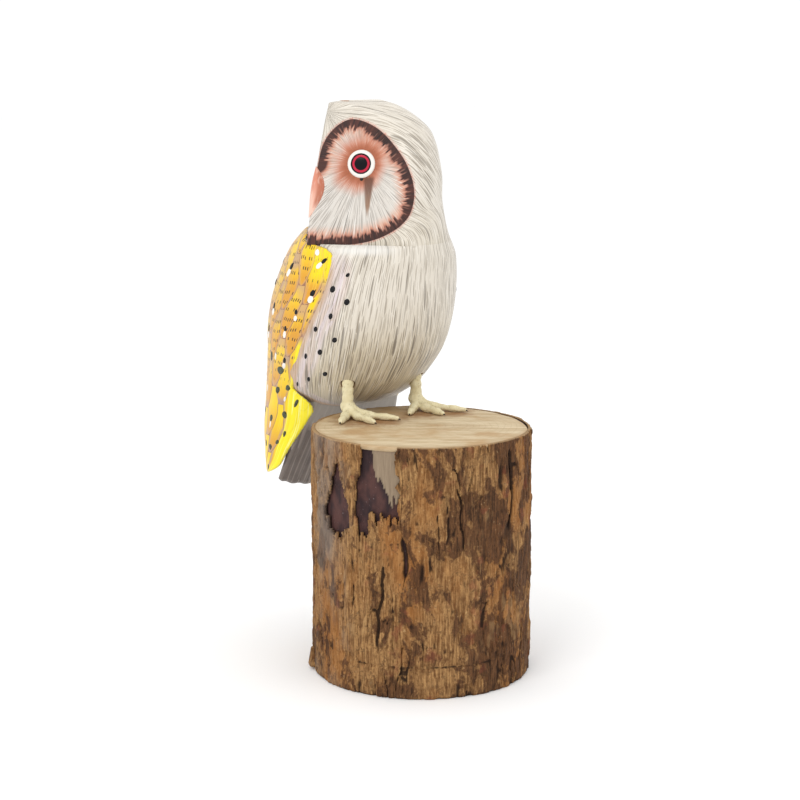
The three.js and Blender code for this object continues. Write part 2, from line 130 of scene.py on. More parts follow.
# The eye button from its middle to its foot: distance from the middle, rise above the facet.
EYE_PROFILE = [
    (0.0, 1.15), (1.0, 1.12), (2.0, 1.05), (2.7, 0.95), (2.8, 0.86), (3.3, 0.9), (3.8, 0.86),
    (3.9, 0.72), (4.4, 0.70), (4.5, 0.86), (5.0, 0.98), (5.6, 0.92), (6.1, 0.7), (6.45, 0.35),
    (EYE["radius"], -0.1), (EYE["radius"], -2.5), (0.0, -2.5),
]
OFF_FACE = -20.0  # the mark of the head's points that lie far from a facet
BEAK = {"top": 236, "bottom": 212, "radius": 3.8, "widest": 0.42, "sink": 0.95}

TAIL = {"top": 121, "corner": 76, "middle": 71, "top_half": 25, "bottom_half": 28}
TAIL_SLOPE = {"top_y": 56, "bottom_y": 87, "bottom": 71, "thickness": 6.6}

SHANK = {"radius": 2.7, "top": 134}
LEG_HOLE_RADIUS = 3.5
ANKLE = {"height": 6, "radius": 3.8}
TOE_RADIUS = 2.1
TOES = [("inner", 36, 25), ("middle", 2, 22), ("outer", -43, 18)]

# The bark plates. Each starts at a crack: its bearing, how wide it gapes, and between which heights.
PLATES = [
    ("bark_plate_left", -96, 0.7, 96, 118), ("bark_plate_front", -44, 1.0, 50, 78),
    ("bark_plate_right", 18, 1.8, 72, 114), ("bark_plate_back_right", 100, 0.8, 20, 85),
    ("bark_plate_back", 190, 1.1, 30, 112),
]
# Deep cracks within a plate: bearing, lowest and highest point, half width.
CRACKS = [
    (-55.5, 19, 64, 0.85), (-15, 76, 99, 0.45), (-12, 68, 80, 0.4), (60, 15, 60, 0.7),
    (-70, 40, 52, 0.5), (140, 40, 100, 0.8), (230, 10, 70, 0.7), (30, 8, 30, 0.5),
]
CRACK_DEPTH = 2.2
SEAM_WANDER = 2.0
# Patches where the bark is gone, as outlines of bearing and height.
BARE_PATCHES = [
    [(-83, 108), (-78, 96), (-74.5, 84), (-73, 76), (-79, 72), (-88, 74), (-95, 78), (-91, 92)],
    [(-66, 120), (-67, 102), (-71, 86), (-69, 76), (-64, 75), (-61, 84), (-57, 82), (-52, 86),
     (-47, 80), (-46, 96), (-48, 120)],
]
GRAY_PATCH = [(-62, 120), (-59, 104), (-53, 94), (-48, 88), (-44, 96), (-44, 120)]

# Kinds of brush stroke: width, length, the share of places that hold one, and a seed.
STROKES = {
    "white_wash": (2.8, 24.0, 0.6, 3.0), "white_light": (1.25, 15.0, 0.6, 11.0),
    "gray_fine": (0.85, 8.0, 0.75, 23.0), "gray_thin": (1.15, 11.0, 0.5, 29.0),
    "gray_bold": (2.0, 15.0, 0.24, 37.0), "lavender": (1.8, 26.0, 0.7, 51.0),
    "rim_glow": (0.9, 60.0, 0.8, 71.0), "face_pale": (1.5, 14.0, 0.7, 5.0),
    "face_gray": (1.5, 11.0, 0.6, 9.0), "face_hair": (1.0, 8.0, 0.6, 13.0),
    "face_ray": (1.4, 9.0, 0.45, 15.0), "fringe": (1.05, 200.0, 1.1, 61.0),
    "fringe_gap": (1.7, 200.0, 0.5, 67.0), "feather": (1.3, 14.0, 0.6, 81.0),
    "tail_wash": (3.4, 34.0, 0.6, 91.0), "tail_fine": (1.3, 22.0, 0.6, 93.0),
}
STROKES_START = 283.0  # the height that the upright strokes are counted down from

CAMERA = {"place": (-503.9, -745.8, 296.8), "turn": math.radians(33.4), "pitch": 0.1848,
          "lens": 88.32, "sensor": 36}
LIGHTS_AIM = (0, 0, 0.15)
# Each light's place and size in metres, power in watts, and colour.
LIGHTS = {
    "key": ((-1.2, -0.6, 1.3), 0.8, 7.5, (1, 0.985, 0.96)),
    "fill": ((0.55, -1.35, 0.7), 1.2, 1.5, (1, 1, 1)),
    "top": ((0.1, 0.25, 1.6), 1.4, 2.0, (1, 1, 1)),
}
SKY_STRENGTH = 1.07
FLOOR = {"half": 6000, "height": -0.2}


# ------------------------------------------------------------------ numbers and noise

def smooth_rows(rows):
    """A smooth line through rows of numbers whose first column is the height."""
    table = np.array(rows, float)
    heights, values = table[:, 0], table[:, 1:]
    slopes = np.gradient(values, heights, axis=0)

    def at(height):
        height = np.clip(np.asarray(height, float), heights[0], heights[-1])
        low = np.clip(np.searchsorted(heights, height, side="right") - 1, 0, len(heights) - 2)
        step = heights[low + 1] - heights[low]
        t = ((height - heights[low]) / step)[..., None]
        step = step[..., None]
        return ((2 * t**3 - 3 * t**2 + 1) * values[low] + (t**3 - 2 * t**2 + t) * step * slopes[low]
                + (3 * t**2 - 2 * t**3) * values[low + 1] + (t**3 - t**2) * step * slopes[low + 1])

    return at


def ramp(x, low, high):
    """0 at low, 1 at high, smooth between them."""
    t = np.clip((x - low) / (high - low), 0, 1)
    return t * t * (3 - 2 * t)


def noise(points, seed=0):
    """Smooth noise between -1 and 1 at points of three columns, with features of size 1."""
    cell = np.floor(points).astype(np.int64)
    part = points - cell
    part = part * part * (3 - 2 * part)
    total = np.zeros(points.shape[:-1])
    for corner in itertools.product((0, 1), repeat=3):
        x, y, z = np.moveaxis(cell + corner, -1, 0)
        mixed = (x * 374761393 + y * 668265263 + z * 1274126177 + seed * 97531) & 0xFFFFFFFF
        mixed = ((mixed ^ (mixed >> 13)) * 1103515245) & 0xFFFFFFFF
        mixed = ((mixed ^ (mixed >> 15)) * 69069) & 0xFFFFFFFF
        weight = np.prod(np.where(corner, part, 1 - part), axis=-1)
        total += weight * ((mixed >> 8) / 2.0**23 - 1)
    return total


def layered_noise(points, layers=3, seed=0):
    """Noise whose layers each have half the size and half the strength of the one before."""
    total = sum(noise(points * 2**i, seed + i) / 2**i for i in range(layers))
    return total / (2 - 0.5**(layers - 1))


def fibrous(points, across, along, seed, layers=1):
    """Noise drawn out along the log: the size of its features across and along the fibres."""
    return layered_noise(points / [across, across, along], layers, seed)


def quarter_round(distance, radius):
    """How far a rounded edge has fallen away: 1 at the edge, 0 at radius from it."""
    return 1 - np.sqrt(1 - (1 - np.clip(distance / radius, 0, 1)) ** 2)


def inside_outline(x, y, outline):
    """Which points lie inside a closed outline."""
    inside = np.zeros(np.shape(x), bool)
    corners = list(outline)
    for (ax, ay), (bx, by) in zip(corners, corners[1:] + corners[:1]):
        crosses = (ay > y) != (by > y)
        at = ax + (y - ay) * (bx - ax) / ((by - ay) or 1e-9)
        inside ^= crosses & (x < at)
    return inside


# ------------------------------------------------------------------ meshes

def add_mesh(name, vertices, faces, material, attributes=None, smooth=True):
    """A new object from vertices in millimetres in the part's frame."""
    mesh = bpy.data.meshes.new(name)
    points = np.asarray(vertices, float).reshape(-1, 3)
    mesh.from_pydata((points * MM).tolist(), [], faces)
    for key, values in (attributes or {}).items():
        values = np.asarray(values, np.float32)
        kind = "FLOAT" if values.ndim == 1 else "FLOAT_VECTOR"
        layer = mesh.attributes.new(key, kind, "POINT")
        layer.data.foreach_set("value" if kind == "FLOAT" else "vector", values.ravel())
    mesh.materials.append(material)
    mesh.validate()
    mesh.polygons.foreach_set("use_smooth", [smooth] * len(mesh.polygons))
    piece = bpy.data.objects.new(name, mesh)
    bpy.context.scene.collection.objects.link(piece)
    return piece


def merge(piece, distance=0.004):
    """Joins vertices that lie in the same place and makes the faces point out."""
    work = bmesh.new()
    work.from_mesh(piece.data)
    bmesh.ops.remove_doubles(work, verts=work.verts, dist=distance * MM)
    bmesh.ops.recalc_face_normals(work, faces=work.faces)
    work.to_mesh(piece.data)
    work.free()
    return piece


def tube_faces(rows, columns, capped=True):
    """Faces of a stack of closed rings of vertices, with a flat fan over each end."""
    faces = []
    for i in range(rows - 1):
        for j in range(columns):
            k = (j + 1) % columns
            row, above = i * columns, (i + 1) * columns
            faces.append((row + j, row + k, above + k, above + j))
    if capped:
        low, high = rows * columns, rows * columns + 1
        for j in range(columns):
            k = (j + 1) % columns
            faces.append((low, k, j))
            faces.append((high, (rows - 1) * columns + j, (rows - 1) * columns + k))
    return faces


def capped_rings(rings):
    """The vertices for tube_faces: rings of shape (rows, columns, 3) and the two end centres."""
    return np.concatenate([rings.reshape(-1, 3), rings[0].mean(0)[None], rings[-1].mean(0)[None]])


def slab_faces(keep):
    """Faces of two facing grids of vertices, outer then inner, walled off wherever cells stop."""
    rows, columns = keep.shape[0] + 1, keep.shape[1] + 1
    offset = rows * columns
    padded = np.pad(keep, 1)
    faces = []
    for i, j in zip(*np.nonzero(keep)):
        a, b = i * columns + j, i * columns + j + 1
        c, d = b + columns, a + columns
        faces.append((a, b, c, d))
        faces.append((a + offset, d + offset, c + offset, b + offset))
        sides = [((i, j + 1), (b, a)), ((i + 1, j + 2), (c, b)), ((i + 2, j + 1), (d, c)),
                 ((i + 1, j), (a, d))]
        for place, (p, q) in sides:
            if not padded[place]:
                faces.append((p, q, q + offset, p + offset))
    return faces


def add_tube(name, rings, material, attributes=None):
    """A closed piece from a stack of rings of shape (rows, columns, 3), its vertices merged."""
    faces = tube_faces(*rings.shape[:2])
    return merge(add_mesh(name, capped_rings(rings), faces, material, attributes))


def add_slab(name, outer, inner, material, attributes, keep=None):
    """A board between two facing grids of points. keep says which of its cells are there."""
    if keep is None:
        keep = np.ones((outer.shape[0] - 1, outer.shape[1] - 1), bool)
    points = np.concatenate([outer.reshape(-1, 3), inner.reshape(-1, 3)])
    return add_mesh(name, points, slab_faces(keep), material, attributes)


def joined(shapes):
    """The vertices and faces of many closed shapes as those of one."""
    points, faces, count = [], [], 0
    for vertices, shape in shapes:
        points.append(vertices)
        faces += [tuple(i + count for i in face) for face in shape]
        count += len(vertices)
    return np.concatenate(points), faces


def finish_piece(piece, slot, *nodes):
    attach(piece, "root")
    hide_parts(*nodes)


# ------------------------------------------------------------------ node trees

class Value:
    """A number or colour in a node tree. Arithmetic on it adds Math nodes."""

    def __init__(self, graph, socket):
        self.graph, self.socket = graph, socket

    def __add__(self, other):
        return self.graph.math("ADD", self, other)

    def __sub__(self, other):
        return self.graph.math("SUBTRACT", self, other)

    def __rsub__(self, other):
        return self.graph.math("SUBTRACT", other, self)

    def __mul__(self, other):
        return self.graph.math("MULTIPLY", self, other)

    def __truediv__(self, other):
        return self.graph.math("DIVIDE", self, other)

    def __abs__(self):
        return self.graph.math("ABSOLUTE", self)

    __radd__ = __add__
    __rmul__ = __mul__


class Graph:
    """Writes a node tree as expressions."""

    def __init__(self, tree):
        self.tree = tree
        tree.nodes.clear()

    def node(self, kind, sockets=None, **settings):
        node = self.tree.nodes.new(kind)
        for key, value in settings.items():
            setattr(node, key, value)
        for key, value in (sockets or {}).items():
            self.feed(node.inputs[key], value)
        return node

    def feed(self, socket, value):
        if isinstance(value, Value):
            self.tree.links.new(value.socket, socket)
        else:
            socket.default_value = value

    def math(self, operation, *terms):
        node = self.node("ShaderNodeMath", dict(enumerate(terms)), operation=operation)
        return Value(self, node.outputs[0])

    def length(self, x, y):
        return self.math("SQRT", x * x + y * y)

    def smooth(self, x, low, high):
        """0 at low, 1 at high, smooth between them; low may be the larger."""
        sockets = {"Value": x, "From Min": low, "From Max": high}
        node = self.node("ShaderNodeMapRange", sockets, interpolation_type="SMOOTHSTEP")
        return Value(self, node.outputs["Result"])

    def mix(self, share, a, b):
        a, b = [(*c, 1) if isinstance(c, tuple) else c for c in (a, b)]
        node = self.node("ShaderNodeMix", {0: share, 6: a, 7: b}, data_type="RGBA")
        return Value(self, node.outputs[2])

    def place(self):
        """The point in the part's frame, in millimetres."""
        metres = Value(self, self.node("ShaderNodeTexCoord").outputs["Object"])
        node = self.node("ShaderNodeVectorMath", {0: metres, "Scale": 1 / MM}, operation="SCALE")
        return Value(self, node.outputs[0])

    def split(self, vector):
        node = self.node("ShaderNodeSeparateXYZ", {0: vector})
        return [Value(self, socket) for socket in node.outputs]

    def join(self, x, y, z=0.0):
        return Value(self, self.node("ShaderNodeCombineXYZ", {0: x, 1: y, 2: z}).outputs[0])

    def attribute(self, name):
        return Value(self, self.node("ShaderNodeAttribute", attribute_name=name).outputs["Vector"])

    def number(self, name):
        return Value(self, self.node("ShaderNodeAttribute", attribute_name=name).outputs["Fac"])

    def noise(self, vector, size, detail=2.0, roughness=0.5, distortion=0.0):
        """Noise from 0 to 1 whose largest features are about size across."""
        sockets = {"Vector": vector, "Scale": 1 / size, "Detail": detail, "Roughness": roughness,
                   "Distortion": distortion}
        return Value(self, self.node("ShaderNodeTexNoise", sockets).outputs["Fac"])

    def stretched(self, vector, x, y, z):
        node = self.node("ShaderNodeVectorMath", {0: vector, 1: (x, y, z)}, operation="MULTIPLY")
        return Value(self, node.outputs[0])

    def random(self, x, y=0.0, z=0.0):
        """Three random numbers from 0 to 1 for a cell."""
        node = self.node("ShaderNodeTexWhiteNoise", {"Vector": self.join(x, y, z)}, noise_dimensions="3D")
        return self.split(Value(self, node.outputs["Color"]))

    def strokes(self, u, v, kind):
        """Tapered brush strokes along v: how much of one lies here, and a random tone for it."""
        node = self.node("ShaderNodeGroup", node_tree=stroke_group())
        for key, value in zip(STROKE_INPUTS, (u, v, *STROKES[kind])):
            self.feed(node.inputs[key], value)
        return Value(self, node.outputs["Mask"]), Value(self, node.outputs["Tone"])


STROKE_INPUTS = ("U", "V", "Width", "Length", "Density", "Seed")


def stroke_group():
    """The node group behind Graph.strokes, made once."""
    found = bpy.data.node_groups.get("brush_strokes")
    if found:
        return found
    tree = bpy.data.node_groups.new("brush_strokes", "ShaderNodeTree")
    for key in STROKE_INPUTS:
        tree.interface.new_socket(key, in_out="INPUT", socket_type="NodeSocketFloat")
    for key in ("Mask", "Tone"):
        tree.interface.new_socket(key, in_out="OUTPUT", socket_type="NodeSocketFloat")
    g = Graph(tree)
    given = {s.name: Value(g, s) for s in g.node("NodeGroupInput").outputs if s.name}
    across = given["U"] / given["Width"]
    column = g.math("FLOOR", across)
    shift = g.random(column, 0.0, given["Seed"])[0]
    along = given["V"] / given["Length"] + shift * 7.0
    row = g.math("FLOOR", along)
    here, there = across - column, along - row
    chance, tone, size = g.random(column, row + 0.5, given["Seed"])
    exists = g.math("LESS_THAN", chance, given["Density"])
    centre = 0.5 + (tone - 0.5) * 0.5 + (size - 0.5) * (there - 0.5) * 0.5
    taper = g.math("POWER", 4.0 * there * (1.0 - there), 0.6)
    half = (0.14 + 0.26 * size) * taper
    mask = g.smooth(abs(here - centre), half, half * 0.35)
    out = g.node("NodeGroupOutput")
    g.feed(out.inputs["Mask"], mask * exists * (0.45 + 0.55 * size))
    g.feed(out.inputs["Tone"], tone)
    return tree


def new_material(name):
    material = bpy.data.materials.new(name)
    material.use_nodes = True
    return material, Graph(material.node_tree)


def shade(g, colour, roughness, height=None, coat=0.0, specular=0.22):
    """Ends a material: its colour, its roughness and a relief in millimetres."""
    shader = g.node("ShaderNodeBsdfPrincipled", {"Base Color": colour, "Roughness": roughness})
    shader.inputs["Specular IOR Level"].default_value = specular
    shader.inputs["Coat Weight"].default_value = coat
    shader.inputs["Coat Roughness"].default_value = 0.2
    if height is not None:
        bump = g.node("ShaderNodeBump", {"Height": height, "Distance": MM, "Strength": 1.0})
        g.tree.links.new(bump.outputs[0], shader.inputs["Normal"])
    out = g.node("ShaderNodeOutputMaterial")
    g.tree.links.new(shader.outputs[0], out.inputs["Surface"])


# ------------------------------------------------------------------ paint on the owl

WHITE = (0.69, 0.64, 0.56)
# The white in painted shade, mixed in lower on the owl
SHADED_WHITE = (0.55, 0.48, 0.35)
STROKE_GRAY = (0.19, 0.15, 0.105)
STROKE_PALE = (0.42, 0.365, 0.29)
STROKE_LIGHT = (0.78, 0.74, 0.67)
STROKE_BOLD = (0.19, 0.165, 0.135)
WING_YELLOW = (0.88, 0.60, 0.004)
WING_ORANGE = (0.66, 0.31, 0.03)


def painted_white(g, u, v, low, tint=None):
    """Warm white under layers of thin gray-brown strokes, with painted shade: creamier and darker where
    low is 1.

    tint is a mask and a colour that goes under the strokes. Returns the colour and its relief.
    """
    cloud = g.noise(g.place(), 22.0, 3.0)
    base = g.mix(g.smooth(low + (cloud - 0.5) * 0.7, 0.0, 1.0), WHITE, SHADED_WHITE)
    if tint:
        base = g.mix(tint[0], base, tint[1])
    wash, _ = g.strokes(u, v, "white_wash")
    base = g.mix(wash * (0.30 + 0.25 * low), base, STROKE_PALE)
    light, _ = g.strokes(u, v, "white_light")
    base = g.mix(light * 0.65, base, STROKE_LIGHT)
    fine, fine_tone = g.strokes(u + 0.4, v, "gray_fine")
    base = g.mix(fine * (0.72 + 0.2 * low), base, g.mix(fine_tone, STROKE_GRAY, STROKE_PALE))
    thin, _ = g.strokes(u + 0.1, v, "gray_thin")
    base = g.mix(thin * (0.62 + 0.2 * low), base, STROKE_GRAY)
    bold, _ = g.strokes(u, v, "gray_bold")
    base = g.mix(bold * (0.7 + 0.2 * low), base, STROKE_BOLD)
    return base, (light - fine) * 0.05 + wash * 0.05


def body_flow(g, x, y, z):
    """Coordinates across and down the upright strokes of the body, and how low on it."""
    lean, upright = 0.42, 197.0  # forward for each millimetre up, as far as this height
    radius = 41.0
    middle = OWL[1] + radius + lean * (upright - g.math("MINIMUM", z, upright))
    angle = g.math("ARCTAN2", y - middle, x - OWL[0])
    across = angle * radius + g.math("SINE", z / 13.0) * 0.5
    # The third value is how low on the body, which darkens the white there as painted shade and
    # strengthens its strokes.
    return across, STROKES_START - z, g.smooth(z, 188.0, 122.0)


def body_paint():
    """White strokes, lavender ones in a band before each wing, painted shade that grays the underside, and
    a painted highlight along the torso's top ledge.
    """
    material, g = new_material("body_paint")
    x, y, z = g.split(g.place())
    across, down, low = body_flow(g, x, y, z)
    front = g.number("before_wing")
    reach = 12.5 - g.smooth(x - OWL[0], -2.0, 2.0) * 8.5
    ragged = front + (g.noise(g.join(across / 3.0, z / 30.0), 1.0) - 0.5) * 5.0
    band = g.smooth(ragged, reach, reach - 4.0) * g.smooth(z, 199.0, 190.0)
    _, tone = g.strokes(front, z, "lavender")
    lavender = g.mix(tone, (0.66, 0.57, 0.60), (0.62, 0.50, 0.44))
    colour, relief = painted_white(g, across, down, low, (band * 0.85, lavender))
    # Painted shade: grayer towards the underside, below 130 mm.
    under = g.smooth(z, 130.0, 119.0)
    colour = g.mix(under * 0.35, colour, (0.36, 0.33, 0.29))
    edge = g.smooth(front, 2.8, 0.6) * g.smooth(z, 196.0, 186.0)
    colour = g.mix(edge * 0.6, colour, (0.52, 0.33, 0.18))
    # A painted highlight: a near-white band along the torso's top, where its ledge faces up to the light.
    colour = g.mix(g.number("ledge_highlight") * 0.8, colour, (0.76, 0.75, 0.72))
    shade(g, colour, 0.42, relief, coat=0.08)
    return material


def brow_flow(g, ahead, side, up):
    """Coordinates of strokes that spread backwards from a pole on the brow: round it, and away."""
    tilt = math.radians(48)
    polar = ahead * math.cos(tilt) + up * math.sin(tilt)
    rise = up * math.cos(tilt) - ahead * math.sin(tilt)
    around = g.math("ARCTAN2", side, rise)
    away = g.math("ARCTAN2", g.length(side, rise), polar)
    return around * 27.0, away * 34.0


def head_paint():
    """Strokes that spread backwards from the brow, and a painted disc on each facet."""
    material, g = new_material("head_paint")
    x, y, z = g.split(g.place())
    pole_height = 230.0
    side = y - (OWL[1] + HEAD_Y)
    around, away = brow_flow(g, OWL[0] - x, side, z - pole_height)
    across, down, _ = body_flow(g, x, y, z)
    fade = g.smooth(z, 218.0, 201.0)  # to the body's strokes at the neck
    u = around * (1.0 - fade) + across * fade
    v = away * (1.0 - fade) + down * fade
    # Painted shade: the white darkens towards the bottom of the head.
    colour, relief = painted_white(g, u, v, g.smooth(z, 240.0, 190.0) * 0.35)

    disc, along, _ = g.split(g.attribute("disc"))
    eye_x, eye_z, _ = g.split(g.attribute("eye"))
    face, face_relief = face_paint(g, disc, along, eye_x, eye_z)
    colour = g.mix(g.smooth(disc, -0.15, 0.15), colour, face)
    glow, _ = g.strokes(along, disc, "rim_glow")
    outside = g.smooth(disc, -1.3, -0.1) * g.smooth(disc, 0.2, -0.1)
    colour = g.mix(outside * (0.35 + 0.6 * glow), colour, (0.50, 0.15, 0.10))
    from_worn = x - (OWL[0] - 18.5)
    reach = g.math("SQRT", from_worn * from_worn + side * side * 0.5)
    worn = g.smooth(reach + g.noise(g.place(), 2.0) * 3.0, 4.2, 2.6) * g.smooth(z, 262.0, 264.0)
    colour = g.mix(worn * 0.85, colour, (0.36, 0.17, 0.07))
    shade(g, colour, 0.42, g.mix(g.smooth(disc, -0.2, 0.2), relief, face_relief), coat=0.08)
    return material


def face_paint(g, disc, along, eye_x, eye_z):
    """The disc: rays and rust round the eye, the marks under it, and a fringe along the rim."""
    colour, rays_relief = face_rays(g, disc, eye_x, eye_z)
    colour = eye_marks(g, colour, eye_x, 0.0 - eye_z)
    colour, dark = fringe(g, colour, disc, along)
    return colour, rays_relief - dark * 0.06


def face_rays(g, disc, eye_x, eye_z):
    """Pale and gray strokes that fan out from the eye, and over them a rust halo with pale rays."""
    radius = g.length(eye_x, eye_z)
    bearing = g.math("ARCTAN2", eye_x, 0.0 - eye_z)
    ray = bearing * 34.0
    soft = g.noise(g.join(bearing * 3.0, radius / 20.0), 1.0, 3.0)
    colour = g.mix(g.smooth(disc, 10.0, 4.5), (0.62, 0.58, 0.53), (0.64, 0.38, 0.28))
    pale, _ = g.strokes(ray, radius, "face_pale")
    colour = g.mix(pale * 0.7, colour, (0.76, 0.74, 0.70))
    beyond = g.smooth(radius, 8.5, 13.0)
    gray, tone = g.strokes(ray + 0.5, radius, "face_gray")
    colour = g.mix(gray * beyond * 0.8, colour, g.mix(tone, (0.20, 0.18, 0.16), (0.46, 0.42, 0.38)))
    hair, _ = g.strokes(ray + 0.2, radius, "face_hair")
    colour = g.mix(hair * beyond * 0.65, colour, (0.25, 0.22, 0.19))
    lopsided = radius + (soft - 0.5) * 5.0 + eye_x * 0.10 - abs(eye_z) * 0.05
    halo = g.smooth(lopsided, 15.5, 8.5)
    colour = g.mix(halo * 0.9, colour, (0.52, 0.18, 0.10))
    core = g.smooth(lopsided, 10.8, 6.8)
    colour = g.mix(core * 0.8, colour, (0.34, 0.095, 0.04))
    rays, _ = g.strokes(ray, radius, "face_ray")
    colour = g.mix(rays * g.smooth(radius, 8.0, 11.0) * halo * 0.6, colour, (0.84, 0.72, 0.62))
    return colour, (pale - gray) * 0.05


def eye_marks(g, colour, eye_x, fallen):
    """A black pip below the eye and a brown tear streak; fallen is the distance below its middle."""
    aside, below = eye_x - 0.9, fallen - 7.0
    pip = g.smooth(aside * aside + below * below, 0.9, 0.5)
    streak = abs(eye_x - 3.6 - fallen * 0.10) / (4.4 - fallen * 0.16)
    tear = g.smooth(streak, 1.05, 0.45) * g.smooth(fallen, 5.0, 7.0) * g.smooth(fallen, 26.0, 19.0)
    brown = g.mix(g.smooth(fallen, 9.0, 20.0), (0.13, 0.055, 0.035), (0.25, 0.13, 0.07))
    return g.mix(pip, g.mix(tear * 0.9, colour, brown), (0.01, 0.01, 0.01))


def fringe(g, colour, disc, along):
    """Dark jagged strokes inwards from the rim over a rust flush, and the mask of the strokes."""
    brush, dark_tone = g.strokes(along, disc, "fringe")
    jag = g.random(g.math("FLOOR", along / 0.8), 3.0)[0]
    depth = disc + (jag - 0.5) * 2.6 + (g.noise(g.join(along / 9.0, 0.0), 1.0) - 0.5) * 2.4
    flush = g.smooth(depth, 6.4, 3.8)
    colour = g.mix(flush * 0.8, colour, (0.46, 0.17, 0.11))
    dark = g.smooth(depth, 4.6, 3.2) * (0.97 + 0.03 * brush)
    colour = g.mix(dark, colour, g.mix(dark_tone, (0.022, 0.012, 0.012), (0.075, 0.026, 0.020)))
    gap, _ = g.strokes(along + 0.3, disc, "fringe_gap")
    colour = g.mix(gap * g.smooth(disc, 0.8, 2.8) * dark * 0.5, colour, (0.60, 0.28, 0.20))
    return colour, dark


def wing_paint():
    """Overlapping painted feathers, with rows of small dashes on the upper ones."""
    material, g = new_material("wing_paint")
    across, along, outside = g.split(g.attribute("vane"))
    wobble = g.noise(g.place(), 9.0, 2.0) - 0.5
    edge, down, tone, warm = top_feather(g, across + wobble * 2.2, along)
    lower = g.smooth(along, 62.0, 84.0)
    base = g.mix(g.smooth(down + (warm - 0.5) * 0.7, 0.25, 0.95), WING_YELLOW, WING_ORANGE)
    far = g.smooth(across, 20.0, 34.0)
    base = g.mix(far * 0.5, base, (0.58, 0.36, 0.12))
    streak, streak_tone = g.strokes(across, along, "feather")
    base = g.mix(streak * 0.5, base, g.mix(streak_tone, (0.92, 0.70, 0.06), (0.55, 0.27, 0.10)))
    mauve = g.mix(tone, (0.36, 0.24, 0.23), (0.58, 0.34, 0.17))
    root = g.smooth(down + (wobble + streak * 0.2) * 0.4, 0.34, 0.06) * (1.0 - lower)
    tip = g.smooth(down, 0.80, 0.95) * lower
    base = g.mix(g.math("MAXIMUM", root, tip) * 0.8, base, mauve)
    border = g.smooth(edge + (streak_tone - 0.5) * 1.6 + wobble * 2.0, 2.1, 0.2)
    base = g.mix(border * 0.8, base, mauve)
    line = g.smooth(edge, 0.6, 0.1) * g.smooth(tone, 0.1, 0.5)
    base = g.mix(line * 0.75, base, (0.22, 0.10, 0.07))
    shown = g.smooth(edge, 0.9, 1.6) * (1.0 - lower) * g.smooth(down, 0.10, 0.16)
    base = g.mix(dashes(g, across, along, tone) * shown, base, (0.03, 0.02, 0.02))
    base = wing_margins(g, base, across, along, wobble, streak)
    gray = g.mix(streak, (0.35, 0.33, 0.31), (0.55, 0.52, 0.48))
    relief = g.smooth(edge, 0.0, 1.4) * 0.16 + streak * 0.03
    shade(g, g.mix(outside, gray, base), 0.36, relief, coat=0.12)
    return material


def top_feather(g, across, along):
    """The upper of the two feathers at a point: distance from its edge, place down it, its tones."""
    first = feather(g, across, along, 0.0)
    second = feather(g, across, along, 1.0)
    first_shows = g.math("GREATER_THAN", first["edge"], 0.0)
    second_hides = g.math("GREATER_THAN", second["edge"], 0.0)
    later = g.math("GREATER_THAN", first["down"], second["down"])
    on_top = first_shows * g.math("MAXIMUM", later, 1.0 - second_hides)
    return [on_top * first[key] + (1.0 - on_top) * second[key] for key in first]


def dashes(g, across, along, tone):
    """A mask of short upright dashes in level rows."""
    pitch, width = 4.8, 1.5
    rows = along / pitch + tone
    cells = across / width
    row, cell = g.math("FLOOR", rows), g.math("FLOOR", cells)
    chance, shift, _ = g.random(cell, row, 5.0)
    near = abs(rows - row - 0.5 + (shift - 0.5) * 0.15) * pitch
    beside = abs(cells - cell - 0.5 + (near - 0.4) * 0.1) * width
    dash = g.smooth(near, 0.95, 0.6) * g.smooth(beside, 0.44, 0.2)
    return dash * g.math("LESS_THAN", chance, 0.72)


def wing_margins(g, base, across, along, wobble, streak):
    """The wing's front edge: a bright vane below, a brown rim, and yellow at the shoulder."""
    vane = g.smooth(across, 1.2, -0.4) * g.smooth(along, 66.0, 72.0)
    bright = g.mix(streak, (0.93, 0.80, 0.02), (0.95, 0.92, 0.25))
    base = g.mix(vane, base, bright)
    rim = g.smooth(across, 2.6, 0.8) * g.smooth(along, 56.0, 50.0) * g.smooth(along, 20.0, 30.0)
    base = g.mix(rim * 0.7, base, (0.50, 0.32, 0.22))
    collar = g.smooth(along + wobble * 6.0, 25.0, 17.0) * g.smooth(across, 13.0, 7.0)
    base = g.mix(collar * g.smooth(streak, 1.0, 0.2) * 0.85, base, (0.93, 0.72, 0.01))
    bare_yellow = g.smooth(across, 3.2, 1.8) * g.smooth(along, 50.0, 56.0) * (1.0 - vane)
    return g.mix(bare_yellow * 0.85, base, bright)


def feather(g, across, along, odd):
    """One lattice of feathers: where this point lies in its feather, and the feather's tones."""
    width, length = 7.4, 27.0
    lane = across / width
    index = g.math("ROUND", (lane - odd) / 2.0) * 2.0 + odd
    off = abs(lane - index)
    shift = g.random(index, 9.0)[0]
    down = along / length + odd * 0.5 + shift * 0.3
    row = g.math("FLOOR", down)
    down = down - row
    reach = 0.80 * g.math("SQRT", 1.0 - g.math("POWER", down, 2.6))
    tone, warm, _ = g.random(index, row, 2.0)
    return {"edge": (reach - off) * width, "down": down, "tone": tone, "warm": warm}


def plain_paint(name, colours, size, roughness, relief=0.05):
    """Two tones of hand-brushed paint."""
    material, g = new_material(name)
    place = g.place()
    cloud = g.noise(place, size, 4.0, 0.6)
    fine = g.noise(place, size / 6, 3.0)
    colour = g.mix(g.smooth(cloud * 0.7 + fine * 0.3, 0.35, 0.65), *colours)
    shade(g, colour, roughness, (cloud + fine) * relief, coat=0.04, specular=0.1)
    return material


